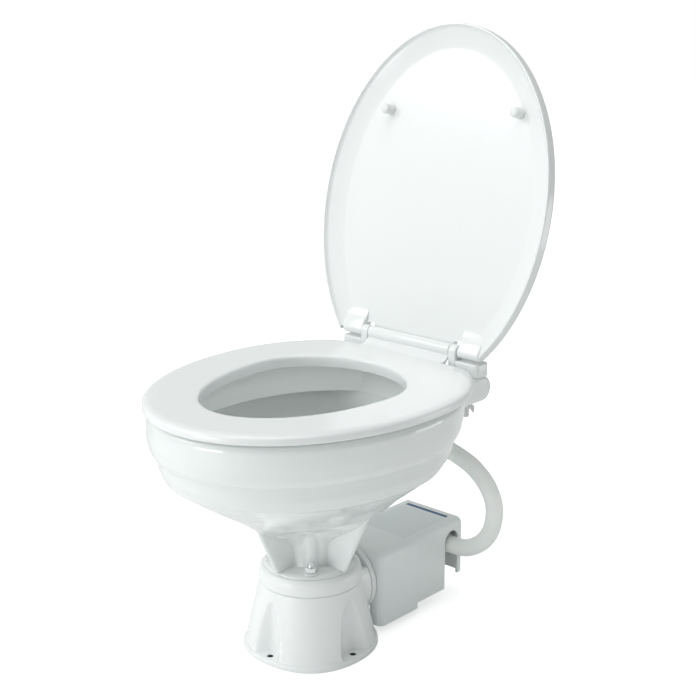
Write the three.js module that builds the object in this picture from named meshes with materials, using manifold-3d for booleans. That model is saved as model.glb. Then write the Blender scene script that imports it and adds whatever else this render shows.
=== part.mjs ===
// Electric marine toilet: a china bowl bolted through a collar to a moulded pedestal, a seat and a
// lid on one hinge line, and a macerator pump with its flush pump lying behind the pedestal under
// a moulded cover. Millimetres, +Z up, origin at the centre of the pedestal's underside, the bowl's
// front towards -Y and the hinge towards +Y.

import * as THREE from 'three';
import { mergeVertices } from 'three/addons/utils/BufferGeometryUtils.js';
import Module from 'manifold-3d';

const wasm = await Module();
wasm.setup();

// Clearance between touching pieces, the overrun of cuts and the facets of round pieces
const clearance = 0.3;
const overrun = 2;
const bowlSides = 36;
const wideSides = 28;
const roundSides = 14;
const motorSides = 16;
const smallSides = 10;

// Pedestal: a tapering hollow foot with three screw pockets and a rear boss for the pump
const footRadius = 86.5;
const footEdgeHeight = 8;
const footEdgeRounding = 1.8;
const footSquarenessShare = 0.02;
const coneFootRadius = 83.5;
const coneTopRadius = 66;
const baseHeight = 94.7;
const baseFloor = 12;
const chamberFloorRadius = 42;
const chamberCornerRadius = 7;
const chamberTopRadius = 57;
const screwCircleRadius = 74.5;
const screwHoleRadius = 4;
const pocketRadius = 26;
const pocketHeight = 80;
const pocketProfileShares = [[0, 1], [0.1, 1], [0.35, 0.86], [0.7, 0.58], [0.87, 0.34], [1, 0]];
const pumpFaceY = 66;
const pumpBossRadius = 48;
const pumpBossDepth = 34;
const pumpAxisZ = 68;
const portRadius = 18;
const pumpSeatRadius = 49;

// Collar between the pedestal and the bowl, with the gasket in its top
const collarHeight = 19.8;
const collarFootRadius = 67.5;
const collarTopRadius = 64.5;
const collarFootBand = 4;
const collarBoreRadius = 30;
const gasketHeight = 6.5;
const gasketRadius = 40;

// Bowl: its foot, neck, fins, belly and rim
const bowlHeight = 225.9;
const bowlHalfWidth = 181.3;
const bowlFrontReach = 219;
const bowlRearReach = 210;
const bowlWidestY = 15;
const bowlWall = 10;
const outletRadius = 27;
const rimRoof = 11;
const mouthHalfWidth = 130;
const mouthHalfLength = 175.5;
const mouthCentreY = -15.4;
const mouthRounding = 4;
const curtainWall = 6;
const curtainDepth = 42;
const footFlangeRadius = 61;
const footFlangeThickness = 4.5;
const finHalfThickness = 4;
const finFootRadius = 61;
const finTopRadius = 103;
const finHeight = 90;
const pillarRadius = 9.7;
const pillarCircleRadius = 29;
const pillarHeight = 57;

// Rows up the outside: shares of the bowl's height, half-width, front reach and rear reach, and how
// much of that reach is left in the middle between two fins, where the skin is vaulted over a stud
const bowlOutsideShares = [
  [0, 0.1875, 0.155, 0.162, 1],
  [0.088, 0.1875, 0.155, 0.162, 1],
  [0.146, 0.204, 0.171, 0.178, 0.92],
  [0.19, 0.248, 0.212, 0.221, 0.76],
  [0.235, 0.331, 0.294, 0.305, 0.59],
  [0.262, 0.389, 0.347, 0.363, 0.52],
  [0.279, 0.425, 0.38, 0.4, 0.64],
  [0.306, 0.464, 0.421, 0.441, 0.81],
  [0.332, 0.502, 0.461, 0.481, 0.93],
  [0.398, 0.579, 0.557, 0.552, 1],
  [0.465, 0.666, 0.668, 0.629, 1],
  [0.518, 0.747, 0.749, 0.683, 1],
  [0.571, 0.827, 0.826, 0.738, 1],
  [0.612, 0.888, 0.881, 0.79, 1],
  [0.626, 0.908, 0.9, 0.81, 1],
  [0.66, 0.929, 0.922, 0.86, 1],
  [0.686, 0.94, 0.9315, 0.892, 1],
  [0.77, 0.949, 0.95, 0.936, 1],
  [0.79, 0.976, 0.979, 0.958, 1],
  [0.819, 0.99, 0.991, 0.971, 1],
  [0.885, 1, 1, 0.986, 1],
  [0.96, 0.998, 0.998, 0.997, 1],
  [1, 0.96, 0.968, 0.967, 1],
];

// Rows up the inside: heights as shares of the bowl's height, taken from the skin outside
const bowlInsideHeightShares = [0, 0.19, 0.262, 0.306, 0.332, 0.398, 0.465, 0.571, 0.66, 0.77, 0.885];

// Hinge deck at the back of the rim, the shoulders under it and the flush-water passage in it
const deckHalfWidth = 118;
const deckFrontY = 150;
const deckRearY = 223;
const deckThickness = 34;
const shoulderHalfWidth = 103;
const shoulderFootDrop = 87;
const shoulderFootY = 140;
const shoulderRearY = 187;
const shoulderTopDrop = 41;
const inletY = 211.5;
const inletBossRadius = 17;
const inletBossDrop = 15;
const inletHoleRadius = 12.7;
const inletHoleDepth = 14;
const passageRadius = 9;
const passageDrop = 20;
const passageFrontY = 180;

// Studs that hold the bowl down, with their washers and nuts
const studCircleRadius = 49;
const studRadius = 3.8;
const studDepth = 17.5;
const studStand = 14;
const studPointHeight = 1;
const washerRadius = 10;
const washerThickness = 2;
const nutRadius = 7.5;
const nutHeight = 6;

// Hinge line and its blocks, pins and bolts
const hingeY = 197.2;
const hingeRise = 28.5;
const hingeEyeRadius = 8.6;
const hingeEyeInnerX = 71;
const hingeEyeOuterX = 82;
const hingeBlockOuterX = 118;
const hingeBlockFrontY = 190;
const hingeBlockRearY = 216;
const hingeBlockHeight = 19.7;
const hingeBlockCorner = 6;
const hingePinRadius = 3;
const hingePinInnerX = 42;
const hingePinOuterX = 115;
const hingeBoltX = 92;
const hingeBoltY = 203;
const hingeBoltRadius = 4;
const hingeBoltLength = 71;
const hingeBoltSeat = 11;
const hingeWasherRadius = 11;
const hingeWasherThickness = 3;
const wingNutRadius = 8;
const wingNutHeight = 9;
const wingReach = 17;
const wingHalfThickness = 1.6;
const wingRise = 5;

// Seat: its outline, hole and section, the barrel on the hinge line and the pads below
const seatHalfWidth = 185;
const seatFrontReach = 223;
const seatRearReach = 210;
const seatWidestY = 15;
const seatRearY = 187.8;
const seatCornerBlend = 13;
const seatRise = 3;
const seatThickness = 12;
const holeHalfWidth = 113;
const holeFrontY = -155;
const holeRearY = 120;
const holeWidestY = 22;
const seatBarrelHalfWidth = 70;
const seatRootLength = 34;
const seatRootDepth = 20;
const seatRootRamp = 26;
const seatRootHeel = 11.5;
const seatRootSinkShare = 0.2;
const seatPadRadius = 9;
const seatPadAngle = 40;

// Section of the seat: shares from its outline to the hole and of its thickness
const seatSectionShares = [
  [0.025, 0], [0, 0.22], [0.005, 0.6], [0.05, 0.87], [0.17, 1], [0.5, 0.98],
  [0.82, 0.95], [0.91, 0.85], [0.97, 0.58], [1, 0.2], [1, -0.3], [0.95, -0.3], [0.91, 0],
];

// Lid: its outline when closed, its dished section and its ears on the hinge line
const lidSideOverhang = 0.6;
const lidFrontOverhang = 3.3;
const lidRearReach = 260;
const lidWidestY = 15;
const lidRearY = 216;
const lidCornerBlend = 16;
const lidRimDrop = 9;
const lidCrown = 11;
const lidPanelThickness = 7.5;
const lidOpenAngle = 103.4;
const lidRimWidth = 30;
const lidNotchHalfWidth = 82.4;
const lidNotchDepth = 12.2;
const lidEarInnerX = 83;
const lidEarOuterX = 118;
const lidEarClearX = 120;
const lidEarRadius = 7.2;
const lidEarLength = 34;
const lidEarHeel = 9;
const lidEarHeelDrop = 4.4;
const lidEarUnderShare = 0.25;
const lidEarTopShare = 0.17;
const lidFieldShare = 2;
const lidPadRightInset = 72;
const lidPadRightReach = 314;
const lidPadLeftInset = 85.5;
const lidPadLeftReach = 304;
const lidPadRadius = 7;

// Sections of the lid's upper and lower skins: shares of the rim's width and of the whole depth
const lidUpperShares = [[0.02, 0], [0, 0.3], [0, 0.62], [0.07, 0.86], [0.28, 0.97], [2.4, 1]];
const lidLowerShares = [[2.4, 0], [1, 0], [0.42, 0.3], [0.17, 0.65], [0.08, 1]];

// Macerator housing, its gasket and outlet
const housingGasketThickness = 1.7;
const housingGasketRadius = 26;
const housingFlangeRadius = 48;
const housingFlangeThickness = 7.7;
const housingRadius = 35;
const housingDepth = 35.7;
const housingChamberRadius = 28;
const housingBackWall = 8;
const housingFrontWall = 4;
const sealBoreRadius = 9;
const outletY = 88;
const outletStubRadius = 16;
const outletStubReach = 52;
const outletBoreRadius = 10.5;
const spigotFlangeThickness = 3.7;
const spigotRadius = 12.7;
const spigotReach = 90;
const valveThickness = 1.6;
const valveLength = 17;
const valveWall = 1.6;
const valveLipShare = 0.3;

// Rotor: shaft, cutter, discharge impeller and armature
const shaftRadius = 4;
const shaftFrontY = 73;
const shaftRearY = 241;
const cutterFrontY = 74;
const cutterThickness = 3;
const cutterReach = 24;
const cutterHubRadius = 9;
const cutterArmHalfWidth = 5;
const impellerFrontY = 80;
const impellerRearY = 94;
const impellerPlateThickness = 2.5;
const impellerRadius = 25;
const impellerHubRadius = 9;
const impellerVaneHalfThickness = 1.5;
const impellerVaneCount = 6;
const armatureRadius = 26;
const armatureFrontY = 126;
const armatureRearY = 170;
const commutatorRadius = 13;
const commutatorRearY = 184;

// Motor: casing, end cap, bearings, magnet ring and cable gland
const motorRadius = 38;
const motorWall = 4;
const motorFrontWall = 6;
const motorRearY = 200;
const bearingRadius = 11;
const bearingWidth = 7.4;
const bearingBossWall = 3;
const endCapThickness = 7.7;
const magnetFrontY = 124;
const magnetRearY = 172;
const magnetThickness = 6;
const glandY = 186;
const glandNeckRadius = 5.7;
const glandBodyRadius = 9;
const glandBodyHeight = 11;
const glandBoreRadius = 3;

// Flush pump on the motor's rear end
const flushRadius = 30;
const flushDepth = 33.7;
const flushFrontWall = 9.7;
const flushChamberRadius = 20;
const flushHubRadius = 7.5;
const flushVaneHalfThickness = 1.4;
const flushPlateThickness = 5.7;
const flushPortY = 230;
const flushPortRise = 9.5;
const flushPortBore = 6.5;
const flushOutletReach = 50;
const flushInletReach = 80;

// Rinse hose, its clips and the bowl's inlet elbow
const hoseRadius = 12;
const hoseBore = 9.6;
const hoseSides = 10;
const hoseSteps = 19;
const hoseStartX = 34;
const hoseStraight = 18;
const hoseBulge = 124;
const hoseEndX = 25;
const hoseEndY = 228;
const hoseEndDrop = 70;
const hoseRouteShares = [[0.6, 0.012], [0.71, 0.052], [0.855, 0.145], [0.955, 0.275], [1, 0.45],
  [0.975, 0.6], [0.87, 0.745], [0.69, 0.865], [0.48, 0.935]];
const barbRadius = 8.9;
const barbLength = 13;
const beadRadius = 11.6;
const beadWidth = 4;
const elbowBend = 26;
const elbowSteps = 6;
const clipSides = 20;
const clipThickness = 1.3;
const clipWidth = 9;
const clipScrewRadius = 3.2;
const clipScrewLength = 13;
const sealThickness = 12;

// Pump cover: a front and a narrower rear part with rounded edges, open below
const coverTop = 113;
const coverWall = 3.5;
const coverEdge = 11;
const coverCorner = 9;
const coverFrontHalfWidth = 55;
const coverFrontY = 77;
const coverStepY = 159;
const coverFrontBottom = 8.8;
const coverRearHalfWidth = 52;
const coverRearY = 257;
const coverRearBottom = 15;
const coverBackBottom = 30;
const coverBackLegY = 244;
const coverSlotY = 229.75;
const coverSlotRadius = 14.25;
const coverSlotCentreZ = 84;
const coverRibYs = [128, 184];
const coverRibHalfWidth = 30;
const coverRibHalfThickness = 1.5;
const coverRibDepth = 16;

// Heights that follow from the stack of pieces
const collarBottom = baseHeight + clearance;
const collarTop = collarBottom + collarHeight;
const bowlBottom = collarTop + clearance;
const rimTop = bowlBottom + bowlHeight;
const footFlangeTop = bowlBottom + footFlangeThickness;
const washerBottom = footFlangeTop + clearance;
const nutBottom = washerBottom + washerThickness + clearance;
const deckBottom = rimTop - deckThickness;
const inletBossBottom = deckBottom - inletBossDrop;
const inletHoleTop = inletBossBottom + inletHoleDepth;
const hoseEndZ = inletBossBottom - hoseEndDrop;
const hingeBlockBottom = rimTop + clearance;
const hingeBlockTop = hingeBlockBottom + hingeBlockHeight;
const hingeBoltTop = hingeBlockBottom + hingeBoltSeat;
const hingeZ = rimTop + hingeRise;
const seatUnderside = rimTop + seatRise;
const seatTop = seatUnderside + seatThickness;
const lidHalfWidth = seatHalfWidth + lidSideOverhang;
const lidFrontReach = seatFrontReach + lidFrontOverhang;
const housingFrontY = pumpFaceY + clearance + housingGasketThickness + clearance;
const housingRearY = housingFrontY + housingDepth;
const motorFrontY = housingRearY + clearance;
const endCapFrontY = motorRearY + clearance;
const endCapRearY = endCapFrontY + endCapThickness;
const flushFrontY = endCapRearY + clearance;
const flushRearY = flushFrontY + flushDepth;
const flushPortZ = pumpAxisZ + flushPortRise;

const group = new THREE.Group();

function finish(color, roughness, metalness = 0) {
  return new THREE.MeshStandardMaterial({ color, roughness, metalness });
}

const china = finish(0xcddbd8, 0.12);
const seatPlastic = finish(0xf2f7f8, 0.22);
const basePlastic = finish(0xe6eaed, 0.3);
const coverPlastic = finish(0xbdc8c9, 0.42);
const housingPlastic = finish(0xd9dedf, 0.4);
const impellerPlastic = finish(0xefe9da, 0.5);
const whiteRubber = finish(0xd6d9d4, 0.6);
const blackRubber = finish(0x1f2122, 0.8);
const stainless = finish(0xc9cdd0, 0.28, 1);
const bearingSteel = finish(0xb8bcc0, 0.22, 1);
const motorSteel = finish(0x3a3f43, 0.45, 0.8);
const magnetCeramic = finish(0x2c2d2f, 0.7);
const copper = finish(0xb57a4a, 0.4, 0.9);

// Closed surface to solid: shared corners merged, slivers dropped, faces turned outwards
function toSolid(geometry) {
  const bare = geometry.clone();
  bare.deleteAttribute('normal');
  bare.deleteAttribute('uv');
  const merged = mergeVertices(bare);
  const points = merged.attributes.position.array;
  const corners = merged.index.array;
  const kept = [];
  let volume = 0;
  const a = new THREE.Vector3();
  const b = new THREE.Vector3();
  const c = new THREE.Vector3();
  for (let i = 0; i < corners.length; i += 3) {
    const [p, q, r] = [corners[i], corners[i + 1], corners[i + 2]];
    if (p === q || q === r || r === p) continue;
    kept.push(p, q, r);
    a.fromArray(points, 3 * p);
    b.fromArray(points, 3 * q);
    c.fromArray(points, 3 * r);
    volume += a.dot(b.cross(c));
  }
  if (volume < 0) kept.reverse();
  return new wasm.Manifold(new wasm.Mesh({
    numProp: 3,
    vertProperties: new Float32Array(points),
    triVerts: new Uint32Array(kept),
  }));
}

function toGeometry(solid) {
  const mesh = solid.getMesh();
  const geometry = new THREE.BufferGeometry();
  geometry.setAttribute('position', new THREE.BufferAttribute(new Float32Array(mesh.vertProperties), 3));
  geometry.setIndex(new THREE.BufferAttribute(new Uint32Array(mesh.triVerts), 1));
  geometry.computeVertexNormals();
  return geometry;
}

function join(...geometries) {
  return toGeometry(geometries.map(toSolid).reduce((whole, part) => whole.add(part)));
}

function cut(geometry, ...tools) {
  return toGeometry(tools.map(toSolid).reduce((whole, tool) => whole.subtract(tool), toSolid(geometry)));
}

function common(geometry, tool) {
  return toGeometry(toSolid(geometry).intersect(toSolid(tool)));
}

function addPiece(name, geometry, material, parent = group) {
  const mesh = new THREE.Mesh(join(geometry), material);
  mesh.name = name;
  parent.add(mesh);
  return mesh;
}

// Block between two corners
function block(x0, x1, y0, y1, z0, z1) {
  const geometry = new THREE.BoxGeometry(x1 - x0, y1 - y0, z1 - z0);
  return geometry.translate((x0 + x1) / 2, (y0 + y1) / 2, (z0 + z1) / 2);
}

// Profile of [radius, distance] points turned about the Z axis, or about a line along Y or X
function turnedZ(profile, sides = roundSides) {
  const points = profile.map(([radius, along]) => new THREE.Vector2(radius, along));
  return new THREE.LatheGeometry(points, sides).rotateX(Math.PI / 2);
}

function turnedY(profile, sides = roundSides, x = 0, z = pumpAxisZ) {
  const points = profile.map(([radius, along]) => new THREE.Vector2(radius, along));
  return new THREE.LatheGeometry(points, sides).translate(x, 0, z);
}

function turnedX(profile, sides, y, z) {
  const points = profile.map(([radius, along]) => new THREE.Vector2(radius, along));
  return new THREE.LatheGeometry(points, sides).rotateZ(-Math.PI / 2).translate(0, y, z);
}

// Profiles of a solid round bar and of a ring, between two distances
function barProfile(radius, from, to) {
  return [[0, from], [radius, from], [radius, to], [0, to]];
}

function ringProfile(bore, radius, from, to) {
  return [[bore, from], [radius, from], [radius, to], [bore, to], [bore, from]];
}

// Outline in Y and Z drawn along X, in X and Z drawn along Y, or in X and Y drawn along Z
const acrossX = new THREE.Matrix4().makeBasis(
  new THREE.Vector3(0, 1, 0), new THREE.Vector3(0, 0, 1), new THREE.Vector3(1, 0, 0));
const acrossY = new THREE.Matrix4().makeBasis(
  new THREE.Vector3(1, 0, 0), new THREE.Vector3(0, 0, 1), new THREE.Vector3(0, -1, 0));

function outlineShape(points) {
  return new THREE.Shape(points.map(([a, b]) => new THREE.Vector2(a, b)));
}

function drawn(shape, depth, curveSegments = 8) {
  return new THREE.ExtrudeGeometry(shape, { depth, bevelEnabled: false, curveSegments });
}

function drawnX(shape, x0, x1, curveSegments) {
  return drawn(shape, x1 - x0, curveSegments).applyMatrix4(acrossX).translate(x0, 0, 0);
}

function drawnY(shape, y0, y1, curveSegments) {
  return drawn(shape, y1 - y0, curveSegments).applyMatrix4(acrossY).translate(0, y1, 0);
}

function drawnZ(shape, z0, z1, curveSegments) {
  return drawn(shape, z1 - z0, curveSegments).translate(0, 0, z0);
}

// Skin over rows of points with equal counts, with fans over its two ends
function loft(rows, closed = false) {
  const count = rows[0].length;
  const points = rows.flat(2);
  const corners = [];
  const bands = closed ? rows.length : rows.length - 1;
  for (let row = 0; row < bands; row++) {
    const next = (row + 1) % rows.length;
    for (let i = 0; i < count; i++) {
      const j = (i + 1) % count;
      const [a, b, c, d] = [row * count + i, row * count + j, next * count + j, next * count + i];
      corners.push(a, b, c, a, c, d);
    }
  }
  if (!closed) {
    [0, rows.length - 1].forEach((row) => {
      const middle = points.length / 3;
      const sum = rows[row].reduce((total, p) => total.map((v, k) => v + p[k]), [0, 0, 0]);
      points.push(...sum.map((v) => v / count));
      for (let i = 0; i < count; i++) {
        const j = (i + 1) % count;
        const fan = [row * count + i, row * count + j, middle];
        corners.push(...(row === 0 ? fan.reverse() : fan));
      }
    });
  }
  const geometry = new THREE.BufferGeometry();
  geometry.setAttribute('position', new THREE.Float32BufferAttribute(points, 3));
  geometry.setIndex(corners);
  return geometry;
}

// Level ring whose front and rear halves are half-ellipses meeting at its widest line
function eggRing(halfWidth, frontY, rearY, widestY, z, shapeY = (y) => y) {
  return Array.from({ length: bowlSides }, (_, i) => {
    const angle = (2 * Math.PI * i) / bowlSides;
    const reach = Math.sin(angle) > 0 ? rearY - widestY : widestY - frontY;
    return [halfWidth * Math.cos(angle), shapeY(widestY + reach * Math.sin(angle)), z];
  });
}

// Rear edge of an outline flattened at a limit, with rounded corners
function flattenedAt(limit, blend) {
  return (y) => (y < limit - blend ? y : limit - blend * Math.exp((limit - blend - y) / blend));
}

function quarterPlaces(radius) {
  return [1, 3, 5, 7].map((eighth) => {
    const angle = (eighth * Math.PI) / 4;
    return [radius * Math.cos(angle), radius * Math.sin(angle)];
  });
}

// Pedestal
function pedestalRing(radius, z) {
  return Array.from({ length: wideSides }, (_, i) => {
    const angle = (2 * Math.PI * i) / wideSides;
    const fullness = footSquarenessShare * (1 - z / baseHeight);
    const reach = radius * (1 - fullness * Math.cos(4 * angle));
    return [reach * Math.cos(angle), reach * Math.sin(angle), z];
  });
}

const pocketProfile = pocketProfileShares.map(([heightShare, radiusShare]) => (
  [pocketRadius * radiusShare, footEdgeHeight + pocketHeight * heightShare]));
const pocketCut = turnedZ([[0, footEdgeHeight], ...pocketProfile], roundSides);
const screwCut = turnedZ(barProfile(screwHoleRadius, -overrun, footEdgeHeight + overrun), smallSides);
const floorScrewPlaces = [[screwCircleRadius, 0], [0, -screwCircleRadius], [-screwCircleRadius, 0]];
const pedestal = loft([
  pedestalRing(footRadius, 0),
  pedestalRing(footRadius, footEdgeHeight - footEdgeRounding),
  pedestalRing(coneFootRadius, footEdgeHeight + footEdgeRounding),
  pedestalRing(coneTopRadius, baseHeight),
]);
const pumpBoss = common(
  turnedY(barProfile(pumpBossRadius, pumpFaceY - pumpBossDepth, pumpFaceY), wideSides),
  block(-pumpBossRadius, pumpBossRadius, 0, footRadius, 0, baseHeight));
const baseChamber = turnedZ([
  [0, baseFloor],
  [chamberFloorRadius - chamberCornerRadius, baseFloor],
  [chamberFloorRadius, baseFloor + chamberCornerRadius],
  [chamberTopRadius, baseHeight],
  [chamberTopRadius, baseHeight + overrun],
  [0, baseHeight + overrun],
], wideSides);
addPiece('base', cut(
  join(pedestal, pumpBoss),
  baseChamber,
  turnedY(barProfile(portRadius, 0, pumpFaceY + overrun)),
  turnedY(barProfile(pumpSeatRadius, pumpFaceY, footRadius + overrun), wideSides),
  ...floorScrewPlaces.flatMap(([x, y]) => [
    pocketCut.clone().translate(x, y, 0),
    screwCut.clone().translate(x, y, 0),
  ])), basePlastic);

// Collar and bowl gasket
const studPlaces = quarterPlaces(studCircleRadius);
const studHole = turnedZ(barProfile(
  studRadius + clearance, collarTop - studDepth - clearance, footFlangeTop + overrun), smallSides);
const studHoles = studPlaces.map(([x, y]) => studHole.clone().translate(x, y, 0));
addPiece('bowl_collar', cut(turnedZ([
  [collarBoreRadius, collarBottom],
  [collarFootRadius, collarBottom],
  [collarFootRadius, collarBottom + collarFootBand],
  [collarTopRadius, collarTop],
  [gasketRadius, collarTop],
  [gasketRadius, collarTop - gasketHeight - clearance],
  [collarBoreRadius, collarTop - gasketHeight - clearance],
  [collarBoreRadius, collarBottom],
], wideSides), ...studHoles), basePlastic);
addPiece('bowl_gasket', turnedZ(ringProfile(
  collarBoreRadius, gasketRadius - clearance, collarTop - gasketHeight, collarTop), wideSides), blackRubber);

// Bowl: outside skin, neck fins and pillars, hinge deck and shoulders, less its hollows
const vaultFullnessShare = 0.75;

function vaultedReach(angle, leftShare) {
  return 1 - (1 - leftShare) * Math.abs(Math.sin(2 * angle)) ** (2 * vaultFullnessShare);
}

function bowlRow([heightShare, widthShare, frontShare, rearShare, leftShare], inset = 0) {
  const narrowing = inset > 0 ? leftShare : 1;
  const size = (length) => Math.max(length * narrowing - inset, inset > 0 ? outletRadius : 0);
  const ring = eggRing(
    size(bowlHalfWidth * widthShare),
    -size(bowlFrontReach * frontShare),
    size(bowlRearReach * rearShare),
    bowlWidestY * heightShare,
    bowlBottom + bowlHeight * heightShare);
  return ring.map(([x, y, z], i) => {
    const reach = vaultedReach((2 * Math.PI * i) / bowlSides, inset > 0 ? 1 : leftShare);
    return [x * reach, y * reach, z];
  });
}

const roofShare = 1 - rimRoof / bowlHeight;
const insideRows = bowlOutsideShares.filter(([heightShare]) => bowlInsideHeightShares.includes(heightShare));
const throatShares = [-overrun / bowlHeight, ...insideRows[0].slice(1)];
const roofShares = [roofShare, ...insideRows[insideRows.length - 1].slice(1)];
const bowlHollow = loft([throatShares, ...insideRows, roofShares].map((shares) => bowlRow(shares, bowlWall)));

function mouthRing(growth, z) {
  return eggRing(
    mouthHalfWidth + growth,
    mouthCentreY - mouthHalfLength - growth,
    mouthCentreY + mouthHalfLength + growth,
    mouthCentreY,
    z);
}

const curtainBottom = rimTop - curtainDepth;
const curtain = loft([mouthRing(curtainWall, curtainBottom), mouthRing(curtainWall, rimTop)]);
const mouth = loft([
  mouthRing(0, curtainBottom - overrun),
  mouthRing(0, rimTop - mouthRounding),
  mouthRing(mouthRounding, rimTop),
  mouthRing(mouthRounding, rimTop + overrun),
]);
const finOutline = outlineShape([
  [-finFootRadius, bowlBottom + overrun],
  [finFootRadius, bowlBottom + overrun],
  [finTopRadius, bowlBottom + finHeight],
  [-finTopRadius, bowlBottom + finHeight],
]);
const pillarDomeRows = [0, 1, 2, 3].map((step) => (step * Math.PI) / 6);
const pillar = turnedZ([
  [0, bowlBottom],
  [pillarRadius, bowlBottom],
  ...pillarDomeRows.map((angle) => [
    pillarRadius * Math.cos(angle),
    bowlBottom + pillarHeight - pillarRadius + pillarRadius * Math.sin(angle),
  ]),
  [0, bowlBottom + pillarHeight],
], smallSides);
const deckRound = deckThickness / 2;
const deckOutline = new THREE.Shape();
deckOutline.moveTo(deckFrontY, deckBottom);
deckOutline.lineTo(deckRearY - deckRound, deckBottom);
deckOutline.absarc(deckRearY - deckRound, deckBottom + deckRound, deckRound, -Math.PI / 2, Math.PI / 2);
deckOutline.lineTo(deckFrontY, rimTop);
const shoulderOutline = outlineShape([
  [0, rimTop - shoulderFootDrop],
  [shoulderFootY, rimTop - shoulderFootDrop],
  [shoulderRearY, rimTop - shoulderTopDrop],
  [shoulderRearY, rimTop - deckRound],
  [0, rimTop - deckRound],
]);
const deckBoltHole = turnedZ(barProfile(
  hingeBoltRadius + clearance, deckBottom - overrun, rimTop + overrun), smallSides);
const bowlBody = join(
  loft(bowlOutsideShares.map((shares) => bowlRow(shares))),
  turnedZ(barProfile(footFlangeRadius, bowlBottom, footFlangeTop), wideSides),
  drawnX(finOutline, -finHalfThickness, finHalfThickness),
  drawnY(finOutline, -finHalfThickness, finHalfThickness),
  ...quarterPlaces(pillarCircleRadius).map(([x, y]) => pillar.clone().translate(x, y, 0)),
  drawnX(deckOutline, -deckHalfWidth, deckHalfWidth, 8),
  turnedZ(barProfile(inletBossRadius, inletBossBottom, deckBottom + deckRound)).translate(0, inletY, 0),
  drawnX(shoulderOutline, -shoulderHalfWidth, shoulderHalfWidth));
addPiece('bowl', cut(
  bowlBody,
  join(cut(bowlHollow, curtain), mouth),
  ...studHoles,
  deckBoltHole.clone().translate(hingeBoltX, hingeBoltY, 0),
  deckBoltHole.clone().translate(-hingeBoltX, hingeBoltY, 0),
  turnedZ(barProfile(inletHoleRadius, inletBossBottom - overrun, inletHoleTop)).translate(0, inletY, 0),
  turnedZ(barProfile(passageRadius, inletBossBottom, rimTop - passageDrop)).translate(0, inletY, 0),
  turnedY(barProfile(passageRadius, passageFrontY, inletY), roundSides, 0, rimTop - passageDrop)), china);

// Studs, washers and nuts on the bowl's foot
const studTop = footFlangeTop + studStand;
const stud = turnedZ([
  [0, collarTop - studDepth],
  [studRadius, collarTop - studDepth],
  [studRadius, studTop - studPointHeight],
  [studRadius - studPointHeight, studTop],
  [0, studTop],
], smallSides);
const washer = turnedZ(ringProfile(
  studRadius + clearance, washerRadius, washerBottom, washerBottom + washerThickness));
const nutBlank = turnedZ(barProfile(nutRadius, nutBottom, nutBottom + nutHeight), 6);
const nut = cut(nutBlank, turnedZ(barProfile(
  studRadius + clearance, nutBottom - overrun, nutBottom + nutHeight + overrun), smallSides));
studPlaces.forEach(([x, y], i) => {
  addPiece(`bowl_stud_${i + 1}`, stud, stainless).position.set(x, y, 0);
  addPiece(`bowl_washer_${i + 1}`, washer, whiteRubber).position.set(x, y, 0);
  addPiece(`bowl_nut_${i + 1}`, nut, stainless).position.set(x, y, 0);
});

// Points on the hinge line's section, from a reach forwards and a rise above the axis
function hingePoint(reach, rise) {
  return [hingeY - reach, hingeZ + rise];
}

function hingeArc(radius, fromDegrees, toDegrees, steps) {
  return Array.from({ length: steps + 1 }, (_, i) => {
    const angle = THREE.MathUtils.degToRad(fromDegrees + ((toDegrees - fromDegrees) * i) / steps);
    return hingePoint(radius * Math.cos(angle), radius * Math.sin(angle));
  });
}

function hingeBore(x0, x1) {
  return turnedX(barProfile(hingePinRadius + clearance, x0, x1), smallSides, hingeY, hingeZ);
}

// Seat ring with its barrel and pads
function seatRow(inwardShare, thicknessShare) {
  const z = seatUnderside + seatThickness * thicknessShare;
  const flat = flattenedAt(seatRearY, seatCornerBlend);
  const outer = eggRing(seatHalfWidth, -seatFrontReach, seatRearReach, seatWidestY, z, flat);
  const inner = eggRing(holeHalfWidth, holeFrontY, holeRearY, holeWidestY, z);
  return outer.map((p, i) => p.map((v, k) => v + (inner[i][k] - v) * inwardShare));
}

const seatTopRise = seatTop - hingeZ;
const seatRootOutline = outlineShape([
  ...hingeArc(hingeEyeRadius, -10, 290, 14),
  hingePoint(seatRootHeel, seatTopRise - seatThickness * seatRootSinkShare),
  hingePoint(seatRootHeel, hingeEyeRadius - seatRootDepth - seatThickness),
  hingePoint(seatRootLength, hingeEyeRadius - seatRootDepth - seatThickness),
  hingePoint(seatRootRamp, seatTopRise),
]);
addPiece('seat', cut(
  join(
    loft(seatSectionShares.map((shares) => seatRow(...shares)), true),
    drawnX(seatRootOutline, -seatBarrelHalfWidth, seatBarrelHalfWidth)),
  hingeBore(hingePinInnerX - clearance, seatBarrelHalfWidth + overrun),
  hingeBore(-seatBarrelHalfWidth - overrun, clearance - hingePinInnerX)), seatPlastic);

const seatPadTop = seatUnderside - clearance;
const seatPad = turnedZ(barProfile(seatPadRadius, rimTop + clearance, seatPadTop), smallSides);
[1, -1].flatMap((side) => [1, -1].map((end) => [side, end])).forEach(([side, end], i) => {
  const angle = THREE.MathUtils.degToRad(seatPadAngle);
  const reach = end > 0 ? bowlRearReach - bowlWidestY : bowlFrontReach + bowlWidestY;
  const rimMiddle = (bowlHalfWidth + mouthHalfWidth) / 2;
  const x = side * rimMiddle * Math.cos(angle);
  const y = bowlWidestY + end * (reach - (bowlHalfWidth - rimMiddle)) * Math.sin(angle);
  addPiece(`seat_bumper_${i + 1}`, seatPad, whiteRubber).position.set(x, y, 0);
});

// Lid, drawn closed in a frame on the hinge line and turned to its open rest
const lidFrame = new THREE.Group();
lidFrame.position.set(0, hingeY, hingeZ);
lidFrame.rotation.x = -THREE.MathUtils.degToRad(lidOpenAngle);
group.add(lidFrame);

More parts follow.
